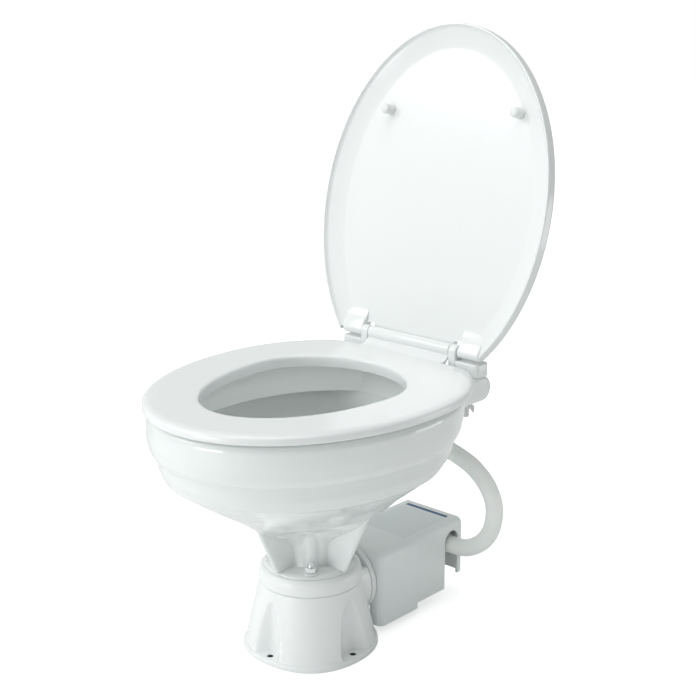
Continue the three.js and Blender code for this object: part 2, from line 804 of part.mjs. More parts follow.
function lidRow(inset, rise) {
  const flat = flattenedAt(lidRearY - inset, lidCornerBlend);
  return eggRing(
    lidHalfWidth - inset,
    inset - lidFrontReach,
    lidRearReach - inset,
    lidWidestY,
    rise,
    flat).map(([x, y, z]) => [x, y - hingeY, z]);
}

const lidDepth = lidCrown + lidRimDrop;
const lidRecess = lidDepth - lidPanelThickness;
const lidShell = loft([
  ...lidUpperShares.map(([insetShare, riseShare]) => (
    lidRow(lidRimWidth * insetShare, lidDepth * riseShare - lidRimDrop))),
  ...lidLowerShares.map(([insetShare, dropShare]) => (
    lidRow(lidRimWidth * insetShare, lidRecess - lidRimDrop - lidRecess * dropShare))),
], true);
const lidPanel = loft([
  lidRow(lidRimWidth * lidFieldShare, lidRecess - lidRimDrop),
  lidRow(lidRimWidth * lidFieldShare, lidCrown),
]);
const lidEarOutline = outlineShape([
  ...hingeArc(lidEarRadius, 60, 290, 10),
  hingePoint(lidEarHeel, -lidEarHeelDrop),
  hingePoint(lidEarLength, lidRecess - lidRimDrop + lidPanelThickness * lidEarUnderShare),
  hingePoint(lidEarLength, lidCrown - lidPanelThickness * lidEarTopShare),
]);
const lidEar = drawnX(lidEarOutline, lidEarInnerX, lidEarOuterX).translate(0, -hingeY, -hingeZ);
const lidRearLimit = lidRearY - hingeY + overrun;
const lidBore = turnedX(barProfile(
  hingePinRadius + clearance, lidEarInnerX - overrun, hingePinOuterX + clearance), smallSides, 0, 0);
const lidBottom = -lidRimDrop - overrun;
const lidTop = lidCrown + overrun;
const mirrorX = new THREE.Matrix4().makeScale(-1, 1, 1);
addPiece('lid', cut(
  join(
    cut(
      join(lidShell, lidPanel),
      block(-lidNotchHalfWidth, lidNotchHalfWidth, -lidNotchDepth, lidRearLimit, lidBottom, lidTop),
      block(-lidEarClearX, lidEarClearX, 0, lidRearLimit, lidBottom, lidTop)),
    lidEar,
    lidEar.clone().applyMatrix4(mirrorX)),
  lidBore,
  lidBore.clone().applyMatrix4(mirrorX)), seatPlastic, lidFrame);

const lidPadEnd = seatTop + clearance - hingeZ;
const lidPadStart = lidRecess - lidRimDrop - clearance;
const lidPad = turnedZ([
  [0, lidPadEnd],
  [lidPadRadius / 2, lidPadEnd],
  [lidPadRadius, lidPadEnd + lidPadRadius / 2],
  [lidPadRadius, lidPadStart],
  [0, lidPadStart],
], smallSides);
[
  [lidHalfWidth - lidPadRightInset, lidPadRightReach],
  [lidPadLeftInset - lidHalfWidth, lidPadLeftReach],
].forEach(([x, reach], i) => {
  addPiece(`lid_bumper_${i + 1}`, lidPad, whiteRubber, lidFrame).position.set(x, -reach, 0);
});

// Hinge blocks, pins, bolts, washers and wing nuts, right and left
const blockOutline = new THREE.Shape();
const blockInnerX = hingeEyeInnerX;
blockOutline.moveTo(blockInnerX, hingeBlockFrontY);
blockOutline.lineTo(hingeBlockOuterX - hingeBlockCorner, hingeBlockFrontY);
blockOutline.absarc(
  hingeBlockOuterX - hingeBlockCorner, hingeBlockFrontY + hingeBlockCorner, hingeBlockCorner, -Math.PI / 2, 0);
blockOutline.absarc(
  hingeBlockOuterX - hingeBlockCorner, hingeBlockRearY - hingeBlockCorner, hingeBlockCorner, 0, Math.PI / 2);
blockOutline.lineTo(blockInnerX, hingeBlockRearY);
const hingeEye = drawnX(outlineShape([
  ...hingeArc(hingeEyeRadius, 0, 180, 10),
  hingePoint(-hingeEyeRadius, hingeBlockBottom + hingeBlockHeight / 2 - hingeZ),
  hingePoint(hingeEyeRadius - overrun, hingeBlockBottom + hingeBlockHeight / 2 - hingeZ),
]), hingeEyeInnerX, hingeEyeOuterX);
const hingeBlock = cut(
  join(drawnZ(blockOutline, hingeBlockBottom, hingeBlockTop, 4), hingeEye),
  hingeBore(hingeEyeInnerX - overrun, hingeEyeOuterX + overrun),
  turnedZ(barProfile(
    hingeBoltRadius + clearance, hingeBlockBottom - overrun, hingeBoltTop + clearance), smallSides)
    .translate(hingeBoltX, hingeBoltY, 0));
const hingePin = turnedX(barProfile(hingePinRadius, hingePinInnerX, hingePinOuterX), smallSides, hingeY, hingeZ);
const hingeBolt = turnedZ(barProfile(hingeBoltRadius, hingeBoltTop - hingeBoltLength, hingeBoltTop), smallSides)
  .translate(hingeBoltX, hingeBoltY, 0);
const hingeWasherTop = deckBottom - clearance;
const hingeWasher = turnedZ(ringProfile(
  hingeBoltRadius + clearance, hingeWasherRadius, hingeWasherTop - hingeWasherThickness, hingeWasherTop))
  .translate(hingeBoltX, hingeBoltY, 0);
const wingNutTop = hingeWasherTop - hingeWasherThickness - clearance;
const wingNutBottom = wingNutTop - wingNutHeight;
const wingOutline = outlineShape([
  [-wingReach, wingNutBottom - wingRise],
  [-wingNutRadius, wingNutBottom],
  [wingNutRadius, wingNutBottom],
  [wingReach, wingNutBottom - wingRise],
  [wingReach, wingNutBottom + wingRise],
  [wingNutRadius / 2, wingNutTop - wingHalfThickness],
  [-wingNutRadius / 2, wingNutTop - wingHalfThickness],
  [-wingReach, wingNutBottom + wingRise],
]);
const wingNut = cut(
  join(
    turnedZ(barProfile(wingNutRadius, wingNutBottom, wingNutTop), smallSides),
    drawnY(wingOutline, -wingHalfThickness, wingHalfThickness)),
  turnedZ(barProfile(hingeBoltRadius + clearance, wingNutBottom - overrun, wingNutTop + overrun), smallSides))
  .translate(hingeBoltX, hingeBoltY, 0);
[['right', new THREE.Matrix4()], ['left', mirrorX]].forEach(([side, matrix]) => {
  addPiece(`hinge_block_${side}`, hingeBlock.clone().applyMatrix4(matrix), seatPlastic);
  addPiece(`hinge_pin_${side}`, hingePin.clone().applyMatrix4(matrix), stainless);
  addPiece(`hinge_bolt_${side}`, hingeBolt.clone().applyMatrix4(matrix), stainless);
  addPiece(`hinge_washer_${side}`, hingeWasher.clone().applyMatrix4(matrix), whiteRubber);
  addPiece(`hinge_wing_nut_${side}`, wingNut.clone().applyMatrix4(matrix), seatPlastic);
});

// Macerator housing with its gasket, outlet valve and spigot
const housingChamberRearY = housingRearY - housingBackWall;
addPiece('housing_gasket', turnedY(ringProfile(
  portRadius, housingGasketRadius, pumpFaceY + clearance, housingFrontY - clearance)), blackRubber);
addPiece('macerator_housing', cut(
  join(
    turnedY([
      [0, housingFrontY],
      [housingFlangeRadius, housingFrontY],
      [housingFlangeRadius, housingFrontY + housingFlangeThickness],
      [housingRadius, housingFrontY + housingFlangeThickness],
      [housingRadius, housingRearY],
      [0, housingRearY],
    ], motorSides),
    turnedX(barProfile(outletStubRadius, -outletStubReach, 0), roundSides, outletY, pumpAxisZ)),
  turnedY(barProfile(housingChamberRadius, housingFrontY + housingFrontWall, housingChamberRearY), motorSides),
  turnedY(barProfile(portRadius, housingFrontY - overrun, housingChamberRearY)),
  turnedY(barProfile(sealBoreRadius, housingFrontY, housingRearY + overrun)),
  turnedX(barProfile(outletBoreRadius, -outletStubReach - overrun, 0), roundSides, outletY, pumpAxisZ)),
housingPlastic);
const valveFrontX = outletStubReach + clearance;
const valveRearX = valveFrontX + valveThickness;
const valveRadius = outletBoreRadius - clearance - valveWall / 2;
addPiece('joker_valve', turnedX([
  [valveRadius - valveWall, -valveFrontX],
  [outletStubRadius, -valveFrontX],
  [outletStubRadius, -valveRearX],
  [valveRadius, -valveRearX],
  [valveRadius * valveLipShare + valveWall / 2, -valveRearX - valveLength],
  [valveRadius * valveLipShare - valveWall / 2, -valveRearX - valveLength],
  [valveRadius - valveWall, -valveFrontX],
], roundSides, outletY, pumpAxisZ), blackRubber);
const spigotFrontX = valveRearX + clearance;
addPiece('discharge_spigot', turnedX([
  [outletBoreRadius, -spigotFrontX],
  [outletStubRadius, -spigotFrontX],
  [outletStubRadius, -spigotFrontX - spigotFlangeThickness],
  [spigotRadius, -spigotFrontX - spigotFlangeThickness],
  [spigotRadius, -spigotReach],
  [outletBoreRadius, -spigotReach],
  [outletBoreRadius, -spigotFrontX],
], roundSides, outletY, pumpAxisZ), housingPlastic);
addPiece('shaft_seal', turnedY(ringProfile(
  shaftRadius + clearance, sealBoreRadius - clearance, housingChamberRearY, housingRearY)), blackRubber);

// Rotor on the pump axis
const shaftBore = turnedY(barProfile(shaftRadius + clearance, 0, coverRearY), smallSides);
addPiece('motor_shaft', turnedY(barProfile(shaftRadius, shaftFrontY, shaftRearY), smallSides), stainless);
const cutterHalf = outlineShape([
  [-cutterArmHalfWidth, 0],
  [cutterArmHalfWidth, 0],
  [cutterArmHalfWidth / 2, cutterReach],
  [-cutterArmHalfWidth, cutterReach - cutterArmHalfWidth],
]);
const cutterRearY = cutterFrontY + cutterThickness;
const cutterArm = drawnY(cutterHalf, cutterFrontY, cutterRearY);
addPiece('macerator_blade', cut(join(
  turnedY(barProfile(cutterHubRadius, cutterFrontY, cutterRearY)),
  cutterArm.clone().translate(0, 0, pumpAxisZ),
  cutterArm.clone().rotateY(Math.PI).translate(0, 0, pumpAxisZ)), shaftBore), bearingSteel);

function vanes(count, halfThickness, reach, y0, y1) {
  const vane = block(-halfThickness, halfThickness, y0, y1, 0, reach);
  return Array.from({ length: count }, (_, i) => (
    vane.clone().rotateY((2 * Math.PI * i) / count).translate(0, 0, pumpAxisZ)));
}

addPiece('discharge_impeller', cut(join(
  turnedY(barProfile(impellerHubRadius, impellerFrontY, impellerRearY)),
  turnedY(barProfile(impellerRadius, impellerRearY - impellerPlateThickness, impellerRearY)),
  ...vanes(impellerVaneCount, impellerVaneHalfThickness, impellerRadius - overrun, impellerFrontY, impellerRearY)),
shaftBore), impellerPlastic);
addPiece('armature', turnedY([
  [shaftRadius + clearance, armatureFrontY],
  [armatureRadius, armatureFrontY],
  [armatureRadius, armatureRearY],
  [commutatorRadius, armatureRearY],
  [commutatorRadius, commutatorRearY],
  [shaftRadius + clearance, commutatorRearY],
  [shaftRadius + clearance, armatureFrontY],
]), copper);

// Motor casing, magnet ring, end cap, bearings and cable gland
const bearingBossRadius = bearingRadius + bearingBossWall;
const casingWallRearY = motorFrontY + motorFrontWall;
const frontBearingY = casingWallRearY + clearance;
const casingBossRearY = frontBearingY + bearingWidth;
const motorBore = motorRadius - motorWall;
const shaftWayRadius = (shaftRadius + bearingRadius) / 2;
addPiece('motor_casing', cut(
  turnedY([
    [shaftWayRadius, motorFrontY],
    [motorRadius, motorFrontY],
    [motorRadius, motorRearY],
    [motorBore, motorRearY],
    [motorBore, casingWallRearY],
    [bearingBossRadius, casingWallRearY],
    [bearingBossRadius, casingBossRearY],
    [bearingRadius, casingBossRearY],
    [bearingRadius, casingWallRearY],
    [shaftWayRadius, casingWallRearY],
    [shaftWayRadius, motorFrontY],
  ], motorSides),
  turnedZ(barProfile(
    glandNeckRadius + clearance, pumpAxisZ - motorRadius - overrun, pumpAxisZ - motorBore + overrun), smallSides)
    .translate(0, glandY, 0)), motorSteel);
addPiece('field_ring', turnedY(ringProfile(
  motorBore - magnetThickness, motorBore - clearance, magnetFrontY, magnetRearY), motorSides), magnetCeramic);
const capBossFrontY = endCapFrontY - clearance - bearingWidth;
addPiece('motor_end_cap', turnedY([
  [shaftWayRadius, endCapFrontY],
  [bearingRadius, endCapFrontY],
  [bearingRadius, capBossFrontY],
  [bearingBossRadius, capBossFrontY],
  [bearingBossRadius, endCapFrontY],
  [motorRadius, endCapFrontY],
  [motorRadius, endCapRearY],
  [shaftWayRadius, endCapRearY],
  [shaftWayRadius, endCapFrontY],
], motorSides), motorSteel);
const bearing = turnedY(ringProfile(shaftRadius + clearance, bearingRadius - clearance, 0, bearingWidth));
addPiece('front_bearing', bearing, bearingSteel).position.y = frontBearingY;
addPiece('rear_bearing', bearing, bearingSteel).position.y = capBossFrontY;
const glandTop = pumpAxisZ - motorBore - clearance;
const glandShoulder = pumpAxisZ - motorRadius - clearance;
addPiece('cable_gland', turnedZ([
  [glandBoreRadius, glandTop],
  [glandNeckRadius, glandTop],
  [glandNeckRadius, glandShoulder],
  [glandBodyRadius, glandShoulder],
  [glandBodyRadius, glandShoulder - glandBodyHeight],
  [glandBoreRadius, glandShoulder - glandBodyHeight],
  [glandBoreRadius, glandTop],
], smallSides).translate(0, glandY, 0), blackRubber);

// Flush pump with its impeller, cover plate and two ports
const flushChamberY = flushFrontY + flushFrontWall;
addPiece('flush_pump_housing', cut(
  join(
    turnedY(barProfile(flushRadius, flushFrontY, flushRearY), motorSides),
    turnedX(barProfile(barbRadius, -flushInletReach, flushOutletReach), hoseSides, flushPortY, flushPortZ)),
  shaftBore,
  turnedY(barProfile(flushChamberRadius, flushChamberY, flushRearY + overrun)),
  turnedX(barProfile(flushPortBore, -flushInletReach - overrun, flushOutletReach + overrun), hoseSides,
    flushPortY, flushPortZ)), housingPlastic);
const flushImpellerRearY = shaftRearY - clearance;
addPiece('flush_impeller', cut(join(
  turnedY(barProfile(flushHubRadius, flushChamberY + clearance, flushImpellerRearY)),
  ...vanes(impellerVaneCount, flushVaneHalfThickness, flushChamberRadius - overrun / 2,
    flushChamberY + clearance, flushImpellerRearY)), shaftBore), blackRubber);
addPiece('flush_pump_plate', turnedY(barProfile(
  flushRadius, flushRearY + clearance, flushRearY + clearance + flushPlateThickness), motorSides), housingPlastic);

// Rinse hose from the flush pump's outlet to the bowl's inlet elbow
const hoseStart = new THREE.Vector3(hoseStartX, flushPortY, flushPortZ);
const hoseEnd = new THREE.Vector3(hoseEndX, hoseEndY, hoseEndZ);
const hoseMiddle = hoseRouteShares.map(([reachShare, riseShare]) => new THREE.Vector3(
  hoseBulge * reachShare,
  flushPortY + (hoseEndY - flushPortY) * riseShare,
  flushPortZ + (hoseEndZ - flushPortZ) * riseShare));
const hoseEndDirection = hoseEnd.clone().sub(hoseMiddle[hoseMiddle.length - 1]).normalize();
const hoseOut = hoseStart.clone().add(new THREE.Vector3(hoseStraight, 0, 0));
const hoseIn = hoseEnd.clone().addScaledVector(hoseEndDirection, -hoseStraight);
const hosePath = new THREE.CurvePath();
hosePath.add(new THREE.LineCurve3(hoseStart, hoseOut));
hosePath.add(new THREE.CatmullRomCurve3([hoseOut, ...hoseMiddle, hoseIn], false, 'centripetal'));
hosePath.add(new THREE.LineCurve3(hoseIn, hoseEnd));

function ringShape(radius, bore) {
  const circle = (size) => Array.from({ length: hoseSides }, (_, i) => {
    const angle = (2 * Math.PI * i) / hoseSides;
    return new THREE.Vector2(size * Math.cos(angle), size * Math.sin(angle));
  });
  const shape = new THREE.Shape(circle(radius));
  shape.holes.push(new THREE.Path(circle(bore)));
  return shape;
}

addPiece('rinse_hose', new THREE.ExtrudeGeometry(ringShape(hoseRadius, hoseBore), {
  steps: hoseSteps,
  extrudePath: hosePath,
}), whiteRubber);

// Elbow: a barb in the hose, a bead at its end and a bend up to the deck's inlet hole
const elbowStart = hoseEnd.clone().addScaledVector(hoseEndDirection, -barbLength);
const elbowShoulder = hoseEnd.clone().addScaledVector(hoseEndDirection, clearance + beadWidth);
const elbowCorner = new THREE.Vector3(0, inletY, hoseEndZ);
const elbowRise = new THREE.Vector3(0, inletY, hoseEndZ + elbowBend);
const elbowTop = new THREE.Vector3(0, inletY, inletHoleTop - clearance);
const elbowPath = new THREE.CurvePath();
elbowPath.add(new THREE.LineCurve3(elbowStart, elbowShoulder));
elbowPath.add(new THREE.CubicBezierCurve3(
  elbowShoulder,
  elbowShoulder.clone().addScaledVector(hoseEndDirection, elbowBend / 2),
  elbowCorner.clone().add(new THREE.Vector3(0, 0, elbowBend / 4)),
  elbowRise));
elbowPath.add(new THREE.LineCurve3(elbowRise, elbowTop));
const towardsHoseEnd = new THREE.Quaternion().setFromUnitVectors(new THREE.Vector3(0, 1, 0), hoseEndDirection);
const bead = new THREE.LatheGeometry(
  ringProfile(flushPortBore + clearance, beadRadius, clearance, clearance + beadWidth)
    .map(([radius, along]) => new THREE.Vector2(radius, along)), hoseSides)
  .applyQuaternion(towardsHoseEnd)
  .translate(hoseEnd.x, hoseEnd.y, hoseEnd.z);
addPiece('bowl_inlet_elbow', join(
  new THREE.ExtrudeGeometry(ringShape(barbRadius, flushPortBore), {
    steps: elbowSteps,
    extrudePath: elbowPath,
  }),
  bead), housingPlastic);
addPiece('inlet_seal', turnedZ(ringProfile(
  barbRadius + clearance,
  inletHoleRadius - clearance,
  inletHoleTop - clearance - sealThickness,
  inletHoleTop - clearance)).translate(0, inletY, 0), blackRubber);

// Worm-drive clips round the hose's two ends
const clipRadius = hoseRadius + clearance + clipThickness;
const clip = join(
  new THREE.LatheGeometry(
    ringProfile(hoseRadius + clearance, clipRadius, -clipWidth / 2, clipWidth / 2)
      .map(([radius, along]) => new THREE.Vector2(radius, along)), clipSides),
  turnedX(barProfile(clipScrewRadius, -clipScrewLength / 2, clipScrewLength / 2), smallSides,
    0, clipRadius + clipScrewRadius - clipThickness / 2));
const clipInset = barbLength / 2;
const clipA = addPiece('hose_clip_1', clip, stainless);
clipA.quaternion.setFromUnitVectors(new THREE.Vector3(0, 1, 0), new THREE.Vector3(1, 0, 0));
clipA.position.copy(hoseStart).add(new THREE.Vector3(clipInset, 0, 0));
const clipB = addPiece('hose_clip_2', clip, stainless);
clipB.quaternion.copy(towardsHoseEnd);
clipB.position.copy(hoseEnd).addScaledVector(hoseEndDirection, -clipInset);

// Pump cover: two rounded shells, hollowed, with ribs that rest on the motor
function roundedRing(halfWidth, y0, y1, inset, z) {
  const corner = Math.max(coverCorner - inset, coverCorner / 4);
  const centres = [[1, 1], [-1, 1], [-1, -1], [1, -1]];
  return centres.flatMap(([sideX, sideY], quadrant) => Array.from({ length: 4 }, (_, step) => {
    const angle = (Math.PI / 2) * (quadrant + step / 3);
    const middleX = sideX * (halfWidth - inset - corner);
    const middleY = sideY > 0 ? y1 - inset - corner : y0 + inset + corner;
    return [middleX + corner * Math.cos(angle), middleY + corner * Math.sin(angle), z];
  }));
}

function coverBox(halfWidth, y0, y1, bottom, inset) {
  const edge = coverEdge - inset;
  const top = coverTop - inset;
  const rows = [0, 1, 2, 3, 4].map((step) => (step * Math.PI) / 8);
  return loft([
    roundedRing(halfWidth, y0, y1, inset, bottom),
    ...rows.map((angle) => roundedRing(
      halfWidth, y0, y1, inset + edge * (1 - Math.cos(angle)), top - edge * (1 - Math.sin(angle)))),
  ]);
}

function coverSlot(side) {
  const shape = new THREE.Shape();
  shape.moveTo(coverSlotY + coverSlotRadius, 0);
  shape.lineTo(coverSlotY + coverSlotRadius, coverSlotCentreZ);
  shape.absarc(coverSlotY, coverSlotCentreZ, coverSlotRadius, 0, Math.PI);
  shape.lineTo(coverSlotY - coverSlotRadius, 0);
  const inner = coverRearHalfWidth - coverWall - overrun;
  const outer = coverFrontHalfWidth + overrun;
  return side > 0 ? drawnX(shape, inner, outer, 10) : drawnX(shape, -outer, -inner, 10);
}

const spigotSlotRadius = outletStubRadius + 2 * clearance;
const spigotSlot = new THREE.Shape();
spigotSlot.moveTo(outletY + spigotSlotRadius, 0);
spigotSlot.lineTo(outletY + spigotSlotRadius, pumpAxisZ);
spigotSlot.absarc(outletY, pumpAxisZ, spigotSlotRadius, 0, Math.PI);
spigotSlot.lineTo(outletY - spigotSlotRadius, 0);
const housingArch = new THREE.Shape();
const archRadius = housingRadius + clearance;
housingArch.moveTo(archRadius, 0);
housingArch.lineTo(archRadius, pumpAxisZ);
housingArch.absarc(0, pumpAxisZ, archRadius, 0, Math.PI);
housingArch.lineTo(-archRadius, 0);
const ribTop = coverTop - coverWall / 2;
const motorWay = turnedY(barProfile(motorRadius + clearance, coverFrontY, coverStepY + motorRadius), motorSides);
const coverRibs = coverRibYs.map((y) => cut(block(
  -coverRibHalfWidth, coverRibHalfWidth,
  y - coverRibHalfThickness, y + coverRibHalfThickness,
  coverTop - coverRibDepth, ribTop), motorWay));
const coverShell = cut(
  join(
    coverBox(coverFrontHalfWidth, coverFrontY, coverStepY, coverFrontBottom, 0),
    coverBox(coverRearHalfWidth, coverStepY - coverEdge * 2, coverRearY, coverRearBottom, 0)),
  join(
    coverBox(coverFrontHalfWidth, coverFrontY, coverStepY, -overrun, coverWall),
    coverBox(coverRearHalfWidth, coverStepY - coverEdge * 2, coverRearY, -overrun, coverWall)));
addPiece('pump_cover', cut(
  join(coverShell, ...coverRibs),
  coverSlot(1),
  coverSlot(-1),
  drawnX(spigotSlot, -coverFrontHalfWidth - overrun, -housingRadius / 2, 10),
  drawnY(housingArch, coverFrontY - overrun, coverFrontY + coverWall + overrun, 12),
  block(-coverFrontHalfWidth, coverFrontHalfWidth, coverBackLegY, coverRearY + overrun, 0, coverBackBottom)),
coverPlastic);

export default group;
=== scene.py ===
"""Electric marine toilet: a china bowl on a moulded pedestal, its seat and lid, and the pump behind."""
import math

import bmesh
import bpy
from mathutils import Matrix, Vector


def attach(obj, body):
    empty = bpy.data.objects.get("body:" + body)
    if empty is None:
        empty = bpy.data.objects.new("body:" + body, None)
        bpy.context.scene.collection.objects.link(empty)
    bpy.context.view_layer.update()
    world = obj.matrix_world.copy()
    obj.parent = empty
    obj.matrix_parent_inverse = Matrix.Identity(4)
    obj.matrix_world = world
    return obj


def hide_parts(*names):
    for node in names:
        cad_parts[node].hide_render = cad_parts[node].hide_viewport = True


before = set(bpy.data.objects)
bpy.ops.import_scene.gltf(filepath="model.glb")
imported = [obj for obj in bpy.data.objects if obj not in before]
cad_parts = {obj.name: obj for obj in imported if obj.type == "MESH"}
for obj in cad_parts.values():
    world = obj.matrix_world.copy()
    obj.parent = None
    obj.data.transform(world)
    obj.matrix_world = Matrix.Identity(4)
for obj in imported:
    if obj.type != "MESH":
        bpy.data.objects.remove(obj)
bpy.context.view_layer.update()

# View, floor and light: the toilet stands on a white studio sweep, seen from its front right corner and a
# little above. A big soft lamp stands high on the left and one hangs overhead, two small ones near the
# floor lift the lower pieces, and the sky gives less light from the right.
camera_lens = bpy.data.cameras.new("camera")
camera_lens.lens = 70.76
camera_lens.sensor_width = 36.0
camera = bpy.data.objects.new("camera", camera_lens)
camera.location = (1.13321, -1.16995, 0.85795)
camera.rotation_euler = Vector((-0.64871, 0.71125, -0.27074)).to_track_quat("-Z", "Y").to_euler()
bpy.context.scene.collection.objects.link(camera)
bpy.context.scene.camera = camera
bpy.context.scene.view_settings.view_transform = "Standard"


class Wire:
    """One output in a node tree. Arithmetic on it adds the Math node that works it out."""

    def __init__(self, tree, socket=None):
        self.tree = tree
        self.socket = socket

    def node(self, kind, settings=None, values=None, output=0):
        made = self.tree.nodes.new(kind)
        for name, setting in (settings or {}).items():
            if name == "stops":
                for stop, (position, shade) in zip(made.color_ramp.elements, setting):
                    stop.position = position
                    stop.color = (shade, shade, shade, 1.0)
            else:
                setattr(made, name, setting)
        for name, value in (values or {}).items():
            if isinstance(value, Wire):
                self.tree.links.new(value.socket, made.inputs[name])
            else:
                made.inputs[name].default_value = value
        return Wire(self.tree, made.outputs[output])

    def sum(self, operation, *values):
        return self.node("ShaderNodeMath", {"operation": operation}, dict(enumerate(values)))

    def __add__(self, other):
        return self.sum("ADD", self, other)

    def __sub__(self, other):
        return self.sum("SUBTRACT", self, other)

    def __rsub__(self, other):
        return self.sum("SUBTRACT", other, self)

    def __mul__(self, other):
        return self.sum("MULTIPLY", self, other)

    __radd__ = __add__
    __rmul__ = __mul__


def finish(name, base, patch, roughness, grain=0.0, grain_scale=800.0, wave=0.0, wave_scale=40.0,
           fixed=None):
    """A material whose base colour drifts to the patch colour in soft clouds, with a fine grain and
    a slow wave in its surface. fixed holds the sockets that are the same all over."""
    material = bpy.data.materials.new(name)
    material.use_nodes = True
    tree = material.node_tree
    place = Wire(tree).node("ShaderNodeTexCoord", output="Object")

    def noise(scale, detail, rough=0.5):
        return place.node("ShaderNodeTexNoise", None,
                          {"Vector": place, "Scale": scale, "Detail": detail, "Roughness": rough})

    clouds = place.node("ShaderNodeValToRGB", {"stops": [(0.35, 0.0), (0.7, 1.0)]},
                        {"Fac": noise(9.0, 3.0)})
    specks = noise(420.0, 2.0)
    colour = place.node("ShaderNodeMix", {"data_type": "RGBA"},
                        {0: clouds * 0.8 + specks * 0.2, 6: (*base, 1.0), 7: (*patch, 1.0)}, output=2)
    rough_all = roughness + (clouds - 0.5) * (roughness * 0.35) + (specks - 0.5) * 0.04
    height = noise(grain_scale, 2.0, 0.6) * grain + noise(wave_scale, 1.0) * wave
    bump = place.node("ShaderNodeBump", None, {"Height": height, "Strength": 1.0, "Distance": 0.001})
    sockets = tree.nodes["Principled BSDF"].inputs
    for socket, wire in (("Base Color", colour), ("Roughness", rough_all), ("Normal", bump)):
        tree.links.new(wire.socket, sockets[socket])
    for socket, value in (fixed or {}).items():
        sockets[socket].default_value = value
    return material


sweep_paper = finish("sweep_paper", (0.95, 0.95, 0.95), (0.94, 0.94, 0.94), 0.7,
                     fixed={"Emission Strength": 0.6, "Specular IOR Level": 0.1})
sweep_tree = sweep_paper.node_tree
sweep_seen = Wire(sweep_tree).node("ShaderNodeLightPath", output="Is Camera Ray")
sweep_tree.links.new(sweep_seen.socket, sweep_tree.nodes["Principled BSDF"].inputs["Emission Color"])
floor_shape = bmesh.new()
bmesh.ops.create_circle(floor_shape, cap_ends=True, segments=96, radius=9.0)
floor_mesh = bpy.data.meshes.new("floor")
floor_shape.to_mesh(floor_mesh)
floor_shape.free()
floor_mesh.materials.append(sweep_paper)
floor = bpy.data.objects.new("floor", floor_mesh)
bpy.context.scene.collection.objects.link(floor)

world = bpy.data.worlds.new("studio")
bpy.context.scene.world = world
world.use_nodes = True
sky = world.node_tree
sky.nodes["Background"].inputs["Color"].default_value = (1.0, 1.0, 1.0, 1.0)
sky_white = Wire(sky, sky.nodes["Background"].outputs[0])
sky_place = sky_white.node("ShaderNodeTexCoord", output="Generated")
right_side = sky_white.node("ShaderNodeVectorMath", {"operation": "DOT_PRODUCT"},
                            {0: sky_place, 1: (0.8, 0.6, 0.0)}, output="Value")
sky_light = sky_white.node("ShaderNodeBackground", None,
                           {"Color": (0.97, 1.0, 0.99, 1.0), "Strength": 0.57 - right_side * 0.31})
sky_seen = sky_white.node("ShaderNodeLightPath", output="Is Camera Ray")
sky_mix = sky_white.node("ShaderNodeMixShader", None, {0: sky_seen, 1: sky_light, 2: sky_white})
sky.links.new(sky_mix.socket, sky.nodes["World Output"].inputs["Surface"])

lamp_aim = Vector((0.0, 0.0, 0.3))
for name, place, size, watts in (
        ("lamp_key", (-1.5, -1.9, 2.1), 1.4, 18.5),
        ("lamp_low", (-0.2, -1.9, 0.1), 0.8, 7.5),
        ("lamp_right", (1.3, 1.4, 0.1), 0.8, 3.5),
        ("lamp_top", (0.1, -0.3, 2.7), 1.6, 16.0)):
    lamp_light = bpy.data.lights.new(name, "AREA")
    lamp_light.size = size
    lamp_light.energy = watts
    lamp = bpy.data.objects.new(name, lamp_light)
    lamp.location = place
    lamp.rotation_euler = (lamp_aim - Vector(place)).to_track_quat("-Z", "Y").to_euler()
    bpy.context.scene.collection.objects.link(lamp)

# Rinse hose: smooth white vinyl tube, 24 mm across, from the flush pump's outlet in a wide bend up to
# the elbow under the hinge deck, clamped at both ends.
hose_radius = 12.0
hose_bore = 9.6
hose_route = [
    (34.0, 230.0, 77.5), (44.2, 230.0, 77.5), (54.4, 230.0, 77.7), (64.6, 230.0, 78.0),
    (74.7, 230.0, 79.3), (84.3, 229.9, 82.9), (93.1, 229.9, 88.1), (101.3, 229.8, 94.1),
    (108.6, 229.7, 101.3), (114.5, 229.6, 109.6), (119.0, 229.4, 118.7), (122.0, 229.3, 128.5),
    (123.7, 229.2, 138.5), (124.0, 229.0, 148.7), (122.5, 228.9, 158.8), (119.1, 228.7, 168.5),
    (114.0, 228.6, 177.3), (107.7, 228.5, 185.3), (100.3, 228.4, 192.3), (92.1, 228.3, 198.4),
    (83.4, 228.3, 203.7), (74.0, 228.2, 207.7), (64.3, 228.2, 211.0), (54.6, 228.1, 214.1),
    (44.7, 228.1, 216.7), (34.9, 228.0, 219.3), (25.0, 228.0, 222.0)]


def clean(shape):
    """Merges what lies together and turns all faces outwards."""
    bmesh.ops.remove_doubles(shape, verts=shape.verts, dist=1e-4)
    bmesh.ops.recalc_face_normals(shape, faces=shape.faces)


def loft(shape, sides, places, closed=False):
    """A skin drawn out loop by loop. Each place gives a loop's point at an angle, in millimetres.
    It is open at its two ends, or closed on itself like a tyre."""
    circle = bmesh.ops.create_circle(shape, segments=sides, radius=1.0)["verts"]
    loop = {vert: math.atan2(vert.co.y, vert.co.x) for vert in circle}
    edges = {edge for vert in loop for edge in vert.link_edges}
    for vert, angle in loop.items():
        vert.co = places[0](angle)
    for place in places[1:] + (places[:1] if closed else []):
        drawn = bmesh.ops.extrude_edge_only(shape, edges=list(edges))["geom"]
        fresh = {}
        for vert in drawn:
            if isinstance(vert, bmesh.types.BMVert):
                beside = (edge.other_vert(vert) for edge in vert.link_edges)
                fresh[vert] = loop[next(other for other in beside if other in loop)]
        edges = [edge for edge in drawn if isinstance(edge, bmesh.types.BMEdge)]
        for vert, angle in fresh.items():
            vert.co = place(angle)
        loop = fresh
    clean(shape)


